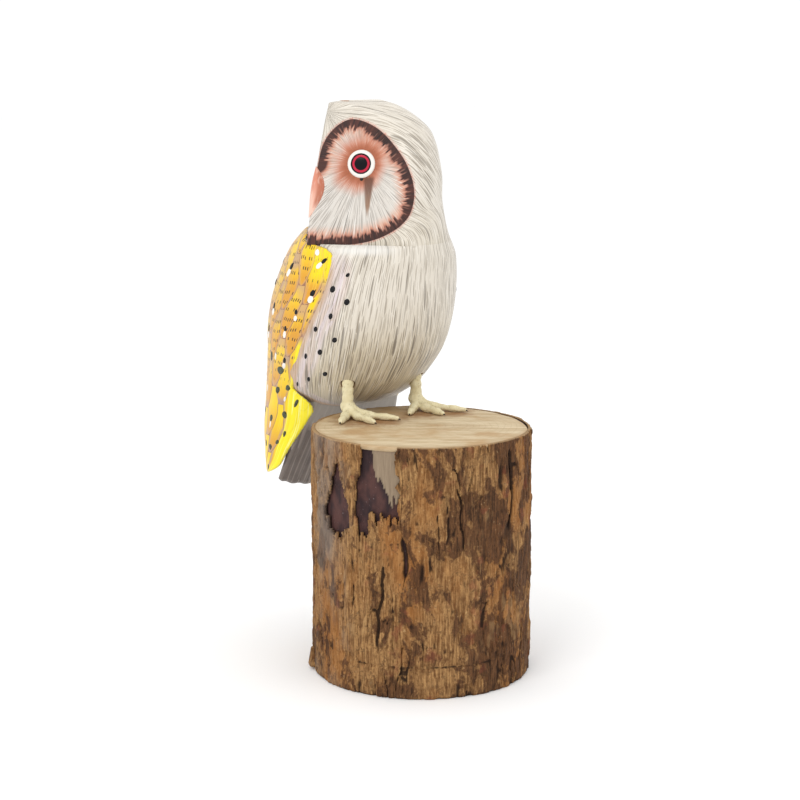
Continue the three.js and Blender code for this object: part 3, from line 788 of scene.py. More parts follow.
def tail_paint():
    """Gray strokes down the board, paler at its top."""
    material, g = new_material("tail_paint")
    across, down, _ = g.split(g.attribute("board"))
    cloud = g.noise(g.place(), 9.0, 4.0, 0.6)
    base = g.mix(cloud, (0.13, 0.105, 0.095), (0.26, 0.225, 0.20))
    wash, tone = g.strokes(across, down, "tail_wash")
    base = g.mix(wash * 0.75, base, g.mix(tone, (0.30, 0.26, 0.24), (0.52, 0.46, 0.40)))
    fine, fine_tone = g.strokes(across, down, "tail_fine")
    base = g.mix(fine * 0.6, base, g.mix(fine_tone, (0.075, 0.06, 0.055), (0.42, 0.37, 0.32)))
    pale = g.smooth(down + (tone - 0.5) * 6.0, 19.0, 9.0)
    base = g.mix(pale * 0.75, base, (0.54, 0.51, 0.46))
    shade(g, base, 0.45, (wash + fine) * 0.06, coat=0.05)
    return material


def beak_paint():
    """Rust above, darker rust down each side as painted shade where the beak meets the face, and peach
    towards the tip.
    """
    material, g = new_material("beak_paint")
    side, up, _ = g.split(g.attribute("spindle"))
    fine = g.noise(g.stretched(g.place(), 1.0, 1.0, 0.3), 1.6, 3.0)
    colour = g.mix(g.smooth(up, 0.15, 0.75), (0.82, 0.52, 0.42), (0.62, 0.24, 0.16))
    # Painted shade: darker rust down each side of the beak, where it meets the face.
    groove = g.smooth(side, 0.5, 0.85) * g.smooth(up, 0.12, 0.35)
    colour = g.mix(groove * 0.85, colour, (0.42, 0.13, 0.07))
    colour = g.mix(g.smooth(fine, 0.5, 0.75) * 0.35, colour, (0.90, 0.68, 0.58))
    shade(g, colour, 0.36, fine * 0.12, coat=0.2)
    return material


def eye_paint():
    """Rings painted on the button by distance from its middle."""
    material, g = new_material("eye_paint")
    iris, outline, rim = (2.95, 3.15), (4.0, 4.15), (4.75, 4.9)  # where each ring begins
    ring = g.number("ring") + (g.noise(g.place(), 1.6, 2.0) - 0.5) * 0.22
    turn = g.noise(g.place(), 0.8, 3.0)
    red = g.mix(turn, (0.38, 0.010, 0.03), (0.60, 0.035, 0.075))
    colour = g.mix(g.smooth(ring, *iris), (0.004, 0.004, 0.006), red)
    colour = g.mix(g.smooth(ring, *outline), colour, (0.006, 0.004, 0.005))
    colour = g.mix(g.smooth(ring, *rim), colour, g.mix(turn, (0.74, 0.71, 0.66), (0.81, 0.79, 0.75)))
    shade(g, colour, 0.22, turn * 0.03, coat=0.1, specular=0.1)
    return material


def putty():
    """Cream putty with grime and dark specks."""
    material, g = new_material("foot_putty")
    place = g.place()
    cloud = g.noise(place, 3.5, 3.0)
    colour = g.mix(cloud, (0.62, 0.53, 0.30), (0.84, 0.78, 0.55))
    grime = g.smooth(g.noise(place, 1.1, 4.0, 0.7), 0.56, 0.72)
    colour = g.mix(grime * 0.6, colour, (0.34, 0.25, 0.12))
    specks = g.smooth(g.noise(place, 0.55, 2.0), 0.70, 0.76)
    colour = g.mix(specks * 0.85, colour, (0.10, 0.07, 0.04))
    shade(g, colour, 0.62, cloud * 0.35 - grime * 0.12)
    return material


# ------------------------------------------------------------------ wood and bark

def sawn_wood():
    """The log's sanded end: pale, with streaky grain, saw marks and stains round the feet."""
    material, g = new_material("sawn_wood")
    place = g.place()
    x, y, z = g.split(place)
    run = g.join((x * 0.835 - y * 0.55) * 0.13, x * 0.55 + y * 0.835, z)
    grain = g.noise(run, 2.4, 6.0, 0.7)
    cloud = g.noise(place, 26.0, 4.0, 0.55)
    colour = g.mix(g.smooth(grain, 0.30, 0.70), (0.44, 0.32, 0.18), (0.66, 0.55, 0.37))
    colour = g.mix(g.smooth(cloud, 0.46, 0.64) * 0.7, colour, (0.44, 0.27, 0.12))
    radius = g.length(x, y)
    rings = g.math("SINE", (radius + cloud * 9.0) * 2.1)
    colour = g.mix(g.smooth(rings, 0.72, 1.0) * 0.14, colour, (0.30, 0.18, 0.09))
    for side in FEET.values():
        from_foot = g.length(x - OWL[0] - side - 4.0, y - OWL[1] - FOOT_Y + 12.0)
        stain = g.smooth(from_foot + (g.noise(place, 11.0, 4.0) - 0.5) * 34.0, 20.0, 6.0)
        colour = g.mix(stain * 0.85, colour, (0.25, 0.115, 0.04))
    rim = g.smooth(radius + (grain - 0.5) * 2.0, 47.0, 50.5)
    colour = g.mix(rim * 0.45, colour, (0.40, 0.24, 0.11))
    pore = g.smooth(g.noise(run, 0.6, 2.0), 0.64, 0.74)
    colour = g.mix(pore * 0.3, colour, (0.22, 0.13, 0.07))
    shade(g, colour, 0.72, grain * 0.18 - pore * 0.08)
    return material


def bark_material():
    """Tan and rust bark with dark patches; relief is how far the surface stands out. Painted shade darkens
    its recesses and its right side, and painted light brightens its ridges and grays its left side.
    """
    material, g = new_material("bark")
    place = g.place()
    x, _, z = g.split(place)
    relief = g.number("relief")
    fibre = g.noise(g.stretched(place, 1.0, 1.0, 0.10), 0.9, 4.0, 0.6)
    broad = g.noise(g.stretched(place, 1.0, 1.0, 0.55), 13.0, 5.0, 0.62, 0.6)
    tint = g.noise(g.stretched(place, 1.0, 1.0, 0.45), 20.0, 3.0)
    speck = g.noise(place, 1.5, 3.0, 0.6)
    mottle = g.noise(g.stretched(place, 1.0, 1.0, 0.6), 4.5, 5.0, 0.7)
    grain = fibre * 0.55 + mottle * 0.3 + speck * 0.15
    colour = g.mix(g.smooth(grain, 0.38, 0.64), (0.125, 0.055, 0.020), (0.47, 0.265, 0.105))
    colour = g.mix(g.smooth(tint, 0.45, 0.70) * 0.6, colour, (0.34, 0.135, 0.035))
    # Painted shade: the dark patches spread further towards +X, the log's shaded right side.
    right = g.smooth(x, -24.0, 6.0)
    dark = g.smooth(broad + right * 0.09 + (fibre - 0.5) * 0.14 + (mottle - 0.5) * 0.5, 0.51, 0.585)
    dark_bark = g.mix(g.smooth(grain, 0.4, 0.62), (0.030, 0.015, 0.009), (0.135, 0.056, 0.024))
    colour = g.mix(dark * 0.88, colour, dark_bark)
    red = g.smooth(g.noise(place, 8.0, 3.0), 0.60, 0.72)
    colour = g.mix(red * 0.4, colour, (0.23, 0.065, 0.035))
    pale = g.smooth(speck + (fibre - 0.5) * 0.5, 0.66, 0.78)
    colour = g.mix(pale * 0.55, colour, (0.52, 0.36, 0.19))
    grime = g.smooth(mottle + (speck - 0.5) * 0.6, 0.56, 0.64)
    colour = g.mix(grime * 0.6, colour, (0.075, 0.034, 0.016))
    # Painted shade: near black in the deepest furrows and cracks and on the plates' inner faces; painted
    # highlight: paler on the highest ridges.
    colour = g.mix(g.smooth(relief, -0.5, -1.3) * 0.9, colour, (0.022, 0.012, 0.008))
    colour = g.mix(g.smooth(relief, 0.25, 0.9) * 0.35, colour, (0.52, 0.32, 0.14))
    # Painted light: a grayish sheen over the log's far left side (-X), where the light falls.
    painted_sheen_left = g.smooth(x + (tint - 0.5) * 10.0, -49.0, -53.0)
    colour = g.mix(painted_sheen_left * 0.55, colour, (0.25, 0.21, 0.18))
    sawn = g.smooth(z, LOG_TOP - 0.6, LOG_TOP - 0.1)
    colour = g.mix(sawn * 0.7, colour, g.mix(fibre, (0.36, 0.21, 0.10), (0.56, 0.40, 0.22)))
    shade(g, colour, 0.82, fibre * 0.6 + speck * 0.9 + mottle * 0.9, specular=0.15)
    return material


def inner_bark_material():
    """The dark layer under the bark, and a patch of bare wood gone gray with weather."""
    material, g = new_material("inner_bark")
    place = g.place()
    fibre = g.noise(g.stretched(place, 1.0, 1.0, 0.09), 0.9, 4.0, 0.6)
    cloud = g.noise(g.stretched(place, 1.0, 1.0, 0.6), 7.0, 4.0)
    colour = g.mix(g.smooth(cloud, 0.35, 0.65), (0.026, 0.014, 0.016), (0.085, 0.037, 0.032))
    flecks = g.smooth(g.noise(place, 0.9, 3.0), 0.66, 0.76)
    colour = g.mix(flecks * 0.5, colour, (0.30, 0.25, 0.25))
    gray = g.mix(fibre, (0.15, 0.105, 0.07), (0.36, 0.275, 0.185))
    colour = g.mix(g.number("bare_wood"), colour, gray)
    shade(g, colour, 0.7, fibre * 0.35 + cloud * 0.5)
    return material


def seam(bearing, height):
    """How far a crack wanders sideways, in radians."""
    turn = math.radians(bearing)
    return (SEAM_WANDER / LOG_RADIUS) * np.sin(height / 9 + turn * 3) * np.cos(height / 23 - turn)


def on_log(bearing, radius, height):
    return np.stack([radius * np.sin(bearing), -radius * np.cos(bearing), height + 0 * bearing], -1)


def bark_relief(bearing, height):
    """How far the bark stands out from its mean radius: plates, furrows, fibres, a scored line."""
    point = on_log(bearing, LOG_RADIUS, height)
    bend = fibrous(point, 14, 26, 7, 2)[..., None] * [2.2, 2.2, 0]
    swell = 0.75 * fibrous(point, 17, 34, 1, 3)
    line = fibrous(point + bend, 5.2, 30, 2)
    where = ramp(fibrous(point, 12, 20, 3), 0.05, 0.45)
    furrow = -1.4 * ramp(np.abs(line), 0.075, 0.012) * where
    split = fibrous(point + bend, 2.1, 17, 12)
    crack = -0.8 * ramp(np.abs(split), 0.12, 0.02) * ramp(fibrous(point, 9, 15, 13), 0.0, 0.4)
    flake = 0.55 * ramp(fibrous(point + bend, 7, 13, 4, 2), 0.02, 0.10)
    fibre = 0.26 * fibrous(point, 0.9, 11, 5) + 0.12 * fibrous(point, 0.5, 4, 6)
    pit = -0.5 * ramp(fibrous(point, 1.5, 2.4, 8), 0.55, 0.8)
    degrees = np.degrees(bearing)
    scored = scored_line(point, degrees, height)
    rough = 0.42 * fibrous(point, 2.4, 3.6, 14, 3)
    cracks = deep_cracks(degrees, height)
    return swell + furrow + crack + flake - 0.3 + fibre + pit + scored + rough + cracks


def scored_line(point, degrees, height):
    """A shallow cut that runs level across the front of the bark."""
    level = 15 + 1.2 * fibrous(point, 9, 9, 9)
    span = ramp(degrees, -72, -66) * ramp(degrees, 8, 2)
    return -0.65 * ramp(np.abs(height - level), 0.8, 0.2) * span


def deep_cracks(degrees, height):
    """The cracks of CRACKS as negative relief, each wandering and tapering to its ends."""
    relief = 0.0 * height
    for bearing, low, high, half_width in CRACKS:
        centre = bearing + 1.5 * np.sin(height / 8 + bearing) + 0.5 * np.sin(height / 2.3)
        away = np.abs((degrees - centre + 180) % 360 - 180) * math.radians(1) * LOG_RADIUS
        length = high - low
        taper = ramp(height, low, low + length * 0.4) * ramp(height, high, high - length * 0.3)
        lip = half_width * (0.35 + 0.65 * taper) + 0.3
        depth = -CRACK_DEPTH * ramp(away, lip, half_width * 0.3) * (taper > 0)
        relief = np.minimum(relief, depth * ramp(taper, 0, 0.3))
    return relief


def patch_mask(bearing, height, patches):
    """Which points lie in a patch whose edge is torn along the fibres."""
    point = on_log(bearing, LOG_RADIUS, height)
    ragged = height + 4.5 * fibrous(point, 1.0, 16, 21) + 2.0 * fibrous(point, 0.5, 8, 22)
    sideways = np.degrees(bearing) + 1.6 * fibrous(point, 6, 3.5, 23)
    hit = np.zeros(np.shape(bearing), bool)
    for outline in patches:
        hit |= inside_outline(sideways, ragged, outline)
    return hit


def add_bark(material):
    """The plates of outer bark, each from its own crack to the next one's."""
    rows = 150
    column = math.radians(0.62)
    levels = np.linspace(0, LOG_TOP, rows + 1)[:, None]
    for i, (name, start, *opening) in enumerate(PLATES):
        _, stop, *next_opening = PLATES[(i + 1) % len(PLATES)]
        stop = stop if i + 1 < len(PLATES) else stop + 360
        columns = int(math.radians(stop - start) / column)
        left_gap, right_gap = crack_width(levels, *opening), crack_width(levels, *next_opening)
        left = math.radians(start) + seam(start, levels) + left_gap / LOG_RADIUS
        right = math.radians(stop) + seam(stop, levels) - right_gap / LOG_RADIUS
        bearing = left + (right - left) * np.linspace(0, 1, columns + 1)
        height = levels + 0 * bearing
        relief = bark_relief(bearing, height)
        for gap, far in ((left_gap, bearing - left), (right_gap, right - bearing)):
            relief = relief - 1.2 * ramp(far * LOG_RADIUS, 1.5, 0.0) * ramp(gap, 0.08, 0.4)
        to_end = np.minimum(height, LOG_TOP - height)
        relief = relief - 0.5 * ramp(to_end, 0.9, 0.0)
        add_plate(name, bearing, height, relief, material)


def add_plate(name, bearing, height, relief, material):
    """A plate of bark, left open where the bark is torn away."""
    outer = on_log(bearing, BARK_FACE + np.clip(relief, *BARK_RELIEF), height)
    inner = on_log(bearing, BARK_INSIDE + 0 * bearing, height)
    middle = (bearing[:-1, :-1] + bearing[1:, 1:]) / 2
    keep = ~patch_mask(middle, (height[:-1, :-1] + height[1:, 1:]) / 2, BARE_PATCHES)
    depth = np.concatenate([relief.ravel(), np.full(relief.size, -1.0)])
    plate = add_slab(name + "_shell", outer, inner, material, {"relief": depth}, keep)
    drop_loose(plate)
    finish_piece(plate, "bark", name)


def crack_width(levels, gape, low, high):
    """Half the width of a seam: open from low to high, ragged, and closed to a hair elsewhere."""
    opening = ramp(levels, low, low + 12) * ramp(levels, high, high - 8)
    ragged = 0.75 + 0.25 * np.sin(levels / 3.1) * np.sin(levels / 7)
    return 0.05 + gape / 2 * opening * ragged


def drop_loose(piece):
    """Removes vertices that no face uses."""
    work = bmesh.new()
    work.from_mesh(piece.data)
    loose = [vertex for vertex in work.verts if not vertex.link_faces]
    bmesh.ops.delete(work, geom=loose, context="VERTS")
    work.to_mesh(piece.data)
    work.free()


def add_inner_bark(material):
    """A tube of inner bark, with a raised patch of bare gray wood on it."""
    columns, rows = 620, 120
    bearing, height = np.meshgrid(np.linspace(-math.pi, math.pi, columns, endpoint=False),
                                  np.linspace(0.3, LOG_TOP - 0.5, rows))
    point = on_log(bearing, LOG_RADIUS, height)
    relief = 0.3 * fibrous(point, 5, 11, 31, 3) + 0.12 * fibrous(point, 0.8, 9, 32)
    wood = patch_mask(bearing, height, [GRAY_PATCH])
    radius = INNER_BARK["outside"] + np.where(wood, 0.55 + 0.25 * relief, relief)
    outer = on_log(bearing, radius, height)
    inner = on_log(bearing, INNER_BARK["inside"] + 0 * bearing, height)
    ring = np.concatenate([outer, inner[::-1], outer[:1]])
    wood_mark = np.concatenate([wood, 0 * wood[::-1], wood[:1]]).ravel().astype(float)
    piece = add_mesh("inner_bark_layer", ring.reshape(-1, 3),
                     tube_faces(2 * rows + 1, columns, capped=False), material, {"bare_wood": wood_mark})
    finish_piece(merge(piece), "inner_bark", "inner_bark")


def add_log_wood(material):
    """The heartwood: a sanded top that reaches out over the inner bark, and a plain body below."""
    columns = 360
    bearing = np.linspace(-math.pi, math.pi, columns, endpoint=False)
    rim = 50.3 + 0.35 * noise(on_log(bearing, 6.0, 0.0 * bearing), 41)
    rim = rim - 1.9 * ramp(bearing, math.radians(42), math.radians(66)) * ramp(bearing, 2.6, 2.2)
    rim = np.minimum(rim, BARK_INSIDE + 0.8)
    body = INNER_BARK["inside"] - 0.4
    shares = np.concatenate([np.linspace(0.02, 0.975, 60), [0.985, 0.995, 1.0]])
    outline = [(0.4, 0.0), (body, 0.0), (body, LOG_TOP - 2.4), (rim - 0.4, LOG_TOP - 2.2),
               (rim, LOG_TOP - 0.7)]
    rings = [on_log(bearing, radius + 0 * bearing, height) for radius, height in outline]
    for share in shares[::-1]:
        radius = rim * share
        edge = 0.5 * max(0.0, (share - 0.985) / 0.015) ** 2
        ring = on_log(bearing, radius, LOG_TOP - edge)
        ring[:, 2] += 0.10 * layered_noise(ring / [11, 7, 50], 2, 43) * min(1, 12 * (1 - share))
        rings.append(ring)
    finish_piece(add_tube("log_wood", np.array(rings), material), "log_wood", "log_core")


def add_flake(material):
    """The loose chip of bark at the foot of the log."""
    low, high = box_mm("bark_flake")
    centre = (low + high) / 2
    middle = math.atan2(centre[0], -centre[1])
    rows, columns = 40, 24
    v, u = np.meshgrid(np.linspace(0, 1, rows), np.linspace(-1, 1, columns), indexing="ij")
    half = 4.2 * (1 - 0.55 * v**1.5) * (0.75 + 0.25 * ramp(v, 0, 0.15))
    bearing = middle + u * half / LOG_RADIUS + 0.006 * np.sin(v * 9)
    height = low[2] + v * (high[2] - low[2]) + 0.6 * u * np.sin(u * 5)
    point = on_log(bearing, LOG_RADIUS, height)
    rounding = np.sqrt(np.clip(1 - u**4, 0, 1)) * ramp(v, 1.0, 0.9) * ramp(v, 0, 0.05)
    relief = 0.3 * fibrous(point, 1.2, 7, 51, 3)
    inner = on_log(bearing, 51.2 + 0 * v, height)
    outer = on_log(bearing, 51.6 + rounding * (2.3 - 1.4 * v + relief), height)
    depth = np.concatenate([relief.ravel(), relief.ravel() - 0.6])
    piece = add_slab("bark_chip", outer, inner, material, {"relief": depth})
    finish_piece(piece, "bark", "bark_flake")


# ------------------------------------------------------------------ the owl's shapes

torso_at = smooth_rows(TORSO)
wing_at = smooth_rows(WING_FACE)
head_at = smooth_rows(HEAD)
edge_at = smooth_rows(WING_EDGE)
feather_line_at = smooth_rows(FEATHER_LINE)
wing_back_at = smooth_rows(WING_BACK)


def on_section(section, angle, side, grow=0.0):
    """A point of the owl at a bearing from its breast, on its left (1) or right (-1)."""
    middle, width, depth = [section[..., k] for k in range(3)]
    x = side * (width + grow) * np.sin(angle)
    y = middle - (depth + grow) * np.cos(angle)
    return x, y


def front_angle(section, place):
    """The bearing at which a section lies at a place along Y."""
    return np.arccos(np.clip((section[..., 0] - place) / section[..., 2], -1, 1))


def eased(count, share=0.5):
    """Numbers from 0 to 1 that bunch towards 1."""
    t = np.linspace(0, 1, count)
    return (1 - share) * t + share * np.sin(t * math.pi / 2)


def add_torso(material):
    """The carved torso, its top edge rounded where the head's facets leave it bare."""
    columns = 360
    low, high = TORSO[0][0], TORSO[-1][0]
    heights = low + (high - low) * (1 - eased(200, 0.6)[::-1])
    heights = np.unique(np.concatenate([heights[:-1], high - np.array([0.5, 0.35, 0.2, 0.1, 0.0])]))
    section = torso_at(heights)
    angle = np.linspace(-math.pi, math.pi, columns, endpoint=False)
    middle, width, depth = [section[:, k][:, None] for k in range(3)]
    bare = LEDGE_RADIUS - head_radius(np.abs(angle + math.pi / 2), HEAD[0][0])
    rounding = 1.5 * ramp(heights, high - 1.6, high)[:, None] ** 2 * ramp(bare, 0.5, 4)
    x = (width - rounding) * np.sin(angle)
    y = middle - (depth - rounding) * np.cos(angle)
    z = heights[:, None] + 0 * x
    carved = 0.16 * layered_noise(np.stack([x, y, z * 0.5], -1) / 7, 3, 61) * ramp(z, high, high - 5)
    x, y = x + carved * np.sin(angle), y - carved * np.cos(angle)
    front = front_angle(section, edge_at(heights)[:, 0])
    before = (front[:, None] - np.abs(angle)) * OWL_RADIUS
    # Where the painted highlight lies along the torso's top ledge.
    ledge_highlight = ramp(bare, 1, 9) * ramp(z, high - 5, high - 2)
    # The last two values of each mark belong to the middles of the two ends.
    marks = {"before_wing": np.append(before.ravel(), [99, 99]),
             "ledge_highlight": np.append(ledge_highlight.ravel(), [0, 1])}
    piece = add_tube("body_carving", np.stack([x, y, z], -1) + OWL, material, marks)
    bore_legs(piece)
    finish_piece(piece, "white_paint", "owl_body")


def bore_legs(piece):
    """Bores the two holes that the legs enter."""
    length = 30
    height = SHANK["top"] + 0.4 - length / 2
    for side, x in FEET.items():
        bpy.ops.mesh.primitive_cylinder_add(
            vertices=64, radius=LEG_HOLE_RADIUS * MM, depth=length * MM,
            location=Vector((OWL[0] + x, OWL[1] + FOOT_Y, height)) * MM)
        drill = bpy.context.object
        drill.data.materials.append(piece.data.materials[0])
        cut = piece.modifiers.new("bore_" + side, "BOOLEAN")
        cut.operation, cut.solver, cut.object = "DIFFERENCE", "EXACT", drill
        apply_modifiers(piece)
        bpy.data.objects.remove(drill)


def apply_modifiers(piece):
    """Replaces a piece's mesh with what its modifiers make of it."""
    graph = bpy.context.evaluated_depsgraph_get()
    mesh = bpy.data.meshes.new_from_object(piece.evaluated_get(graph))
    piece.modifiers.clear()
    piece.data = mesh


def wing_grid(side):
    """A wing's outer face: heights, sections, bearings and the distance to the nearest edge."""
    low, high = WING_EDGE[0][0], WING_EDGE[-1][0]
    columns = 110
    heights = np.unique(np.concatenate([np.linspace(low, high, 250), np.linspace(low, low + 6, 30),
                                        np.linspace(196, 201.5, 50)]))
    section = wing_at(heights)
    blade, shoulder = ramp(heights, 134, 124) * ramp(heights, 94, 104), ramp(heights, 178, 190)
    tucked = LEFT_TUCK["blade"] * blade + LEFT_TUCK["shoulder"] * shoulder if side > 0 else 0
    front = front_angle(section, edge_at(heights)[:, 0] + tucked)
    back = math.pi - np.arcsin(np.clip(wing_back_at(heights)[:, 0] / section[:, 1], 0, 0.999))
    narrow = quarter_round(heights - low, 6.5)
    tip = front + (back - front) * 0.42
    front, back = front + (tip - front) * narrow, back + (tip - back) * narrow
    closing = quarter_round(high - heights, 2.5)
    top = (front + back) / 2
    front, back = front + (top - front) * closing, back + (top - back) * closing
    bunched = (1 - np.cos(np.linspace(0, math.pi, columns))) / 2
    share = bunched * 0.35 + np.linspace(0, 1, columns) * 0.65
    angle = front[:, None] + (back - front)[:, None] * share
    radius = (section[:, 1] + section[:, 2])[:, None] / 2
    to_edge = np.minimum(angle - front[:, None], back[:, None] - angle) * radius
    to_edge = np.minimum(to_edge, np.minimum(heights - low, high - heights)[:, None])
    return heights, section, angle, to_edge, radius


def add_wing(side_name, side, material):
    """A carved wing: a curved board with rounded edges, thickest away from them."""
    heights, section, angle, to_edge, radius = wing_grid(side)
    section = section[:, None, :]
    z = heights[:, None] + 0 * angle
    rounding = quarter_round(to_edge, 1.5)
    line = front_angle(section, feather_line_at(heights)[:, None, 0])
    across = (angle - line) * radius
    along = WING_EDGE[-1][0] - z
    carved = 0.22 * layered_noise(np.stack([across / 5, 0 * z + side, along / 22], -1), 2, 71)
    proud = 0.15 + carved * ramp(to_edge, 0, 3)
    seam_depth = 1.1
    x, y = on_section(section, angle, side, proud - rounding * seam_depth)
    outer = np.stack([x, y, z], -1) + OWL
    thick = seam_depth + (WING_THICKNESS - seam_depth) * (1 - rounding) * ramp(to_edge, 0, 9) ** 0.5
    x, y = on_section(section, angle, side, proud - np.where(to_edge <= 1e-6, seam_depth, thick))
    inner = np.stack([x, y, z], -1) + OWL
    outside = np.concatenate([np.ones(z.size), np.zeros(z.size)])
    vane = np.stack([np.tile(across.ravel(), 2), np.tile(along.ravel(), 2), outside], -1)
    piece = add_slab(f"{side_name}_wing_carving", outer, inner, material, {"vane": vane})
    finish_piece(merge(piece, 0.01), "wing_paint", f"{side_name}_wing")


def tail_front(z):
    """Where the tail's sloping front face lies along Y at a height."""
    share = (TAIL["top"] - z) / (TAIL["top"] - TAIL_SLOPE["bottom"])
    return TAIL_SLOPE["top_y"] + (TAIL_SLOPE["bottom_y"] - TAIL_SLOPE["top_y"]) * share


def add_tail(material):
    """A fan-shaped board, thinner at its rim, with shallow grooves between its feathers."""
    rows, columns = 120, 150
    v, u = np.meshgrid(eased(rows, 0.5), np.linspace(-1, 1, columns), indexing="ij")
    bottom = TAIL["middle"] + (TAIL["corner"] - TAIL["middle"]) * np.abs(u) ** 2.2
    bottom = bottom + 1.2 * ramp(np.abs(u), 0.9, 1.0) + 0.35 * np.sin(u * 21)
    z = TAIL["top"] - v * (TAIL["top"] - bottom)
    half = TAIL["top_half"] + (TAIL["bottom_half"] - TAIL["top_half"]) * np.minimum(1, v * 3.5)
    x = u * half
    to_edge = np.minimum((1 - np.abs(u)) * half, (1 - v) * (TAIL["top"] - TAIL["middle"]))
    rounding = quarter_round(to_edge, 2.0)
    groove = 0.35 * ramp(np.abs(((u * 4.5) % 1) - 0.5), 0.10, 0.0) * ramp(v, 0.1, 0.4)
    carved = 0.2 * layered_noise(np.stack([x / 2.2, v * 3, 0 * x], -1), 2, 81)
    middle = tail_front(z) + TAIL_SLOPE["thickness"] / 2
    thin = (TAIL_SLOPE["thickness"] / 2) * (1 - 0.45 * ramp(v, 0.3, 1)) * (1 - rounding)
    flat = rounding < 0.5
    front = middle - np.maximum(thin - (groove + carved) * flat, 0)
    back = middle + np.maximum(thin - groove * flat, 0)
    faces = [np.stack([x, y, z], -1) + OWL for y in (front, back)]
    board = np.stack([np.tile((u * 25).ravel(), 2), np.tile((v * 50).ravel(), 2),
                      np.zeros(2 * u.size)], -1)
    piece = add_slab("tail_carving", *faces, material, {"board": board})
    finish_piece(merge(piece, 0.01), "tail_paint", "tail")


def keel_forward(height):
    """How far the ridge between the facets lies ahead of the head's axis."""
    down = KEEL_TOP["height"] - height
    return KEEL_TOP["forward"] + KEEL_SLOPE * down - KEEL_EASE * down * down


def to_head(x, y, z):
    """From a head that faces -Y about the upright axis to the turned head."""
    return np.stack([y, HEAD_Y - x, z], -1) + OWL


def head_radius(turn, height):
    """The head's reach at a bearing from its keel: a rounded hood cut by two flat facets."""
    behind, ahead, half = np.moveaxis(head_at(height), -1, 0)
    c, s = np.cos(turn), np.sin(turn)
    length = np.where(c > 0, ahead, behind)
    hood = 1 / np.sqrt((c / length) ** 2 + (s / half) ** 2)
    keel_softness, least_opening, beyond = 0.0004, 0.05, 1e3
    opening = c + np.sqrt(s * s + keel_softness)
    facet = np.where(opening > least_opening,
                     keel_forward(height) / np.maximum(opening, least_opening), beyond)
    blend = 1.6
    share = np.clip(0.5 + 0.5 * (facet - hood) / blend, 0, 1)
    return facet * (1 - share) + hood * share - blend * share * (1 - share)


def fine_line(points, count):
    """A smooth open line through points, finely divided."""
    knots = np.array(points, float)
    rows = np.column_stack([np.arange(len(knots)), knots])
    return smooth_rows(rows)(np.linspace(0, len(knots) - 1, count))


def rim_distance(x, y, outline):
    """How far inside the rim a point lies, and how far along the rim its nearest point is."""
    best, along = np.full(x.shape, 1e9), np.zeros(x.shape)
    travelled = 0.0
    for a, b in zip(outline[:-1], outline[1:]):
        run = b - a
        size = math.hypot(*run)
        t = np.clip(((x - a[0]) * run[0] + (y - a[1]) * run[1]) / size**2, 0, 1)
        far = np.hypot(x - a[0] - t * run[0], y - a[1] - t * run[1])
        nearer = far < best
        along = np.where(nearer, travelled + t * size, along)
        best = np.where(nearer, far, best)
        travelled += size
    inside = inside_outline(x, y, [tuple(p) for p in outline])
    return np.where(inside, best, -best), along


def along_ring(x, y, keel):
    """How far each point of each ring lies from the ring's keel column, along the surface."""
    step = np.hypot(np.diff(x, axis=1), np.diff(y, axis=1))
    travelled = np.concatenate([np.zeros((len(x), 1)), np.cumsum(step, axis=1)], axis=1)
    return np.abs(travelled - travelled[:, keel:keel + 1])


def add_head(material):
    """The carved head, with the marks that its paint needs on every point."""
    half_columns = 150
    low, high = HEAD[0][0], HEAD[-1][0]
    heights = low + (high - low) * eased(190, 0.8)
    share = np.linspace(0, 1, half_columns + 1)
    half_turn = math.pi * (0.85 * share + 0.15 * share**2)
    turn = np.concatenate([-half_turn[:0:-1], half_turn[:-1]])
    height, angle = np.meshgrid(heights, turn, indexing="ij")
    radius = head_radius(angle, height)
    over_ledge = ramp(LEDGE_RADIUS - radius, 0.5, 4)
    radius = radius - 0.6 * ramp(height, low + 0.8, low) ** 2 * over_ledge
    point = np.stack([radius * np.sin(angle), radius * np.cos(angle), height], -1)
    carved = 0.13 * layered_noise(point / 8, 3, 91)
    radius = radius + carved * ramp(height, high, high - 6) * ramp(height, low, low + 5)
    x, y = radius * np.sin(angle), -radius * np.cos(angle)
    marks = head_marks(angle, height, along_ring(x, y, half_columns))
    piece = add_tube("head_carving", to_head(x, y, height), material, marks)
    finish_piece(piece, "white_paint", "owl_head")


def head_marks(angle, height, from_keel):
    """Each point's place against the disc's rim and the eye, then those of the two end middles."""
    disc, along = rim_distance(from_keel, height, fine_line(DISC_RIM, 160))
    disc = np.where(np.abs(angle) > math.radians(120), OFF_FACE, disc)
    from_eye = (from_keel - EYE["along"], height - EYE["height"])
    marks = {"disc": np.stack([disc, along, 0 * disc], -1),
             "eye": np.stack([*from_eye, 0 * disc], -1)}
    ends = np.full((2, 3), OFF_FACE)
    return {key: np.concatenate([mark.reshape(-1, 3), ends]) for key, mark in marks.items()}


def facet_frame(side, height):
    """A facet's ridge point at a height, and its directions along, up and out."""
    along = np.array([side, 1, 0]) / math.sqrt(2)
    slope = keel_forward(height - 1) - keel_forward(height)
    down = np.array([0, -slope, -1])
    out = np.cross(down / np.linalg.norm(down), along)
    out = out / np.linalg.norm(out)
    out = -out if out[1] > 0 else out
    return np.array([0, -keel_forward(height), height]), along, np.cross(out, along), out


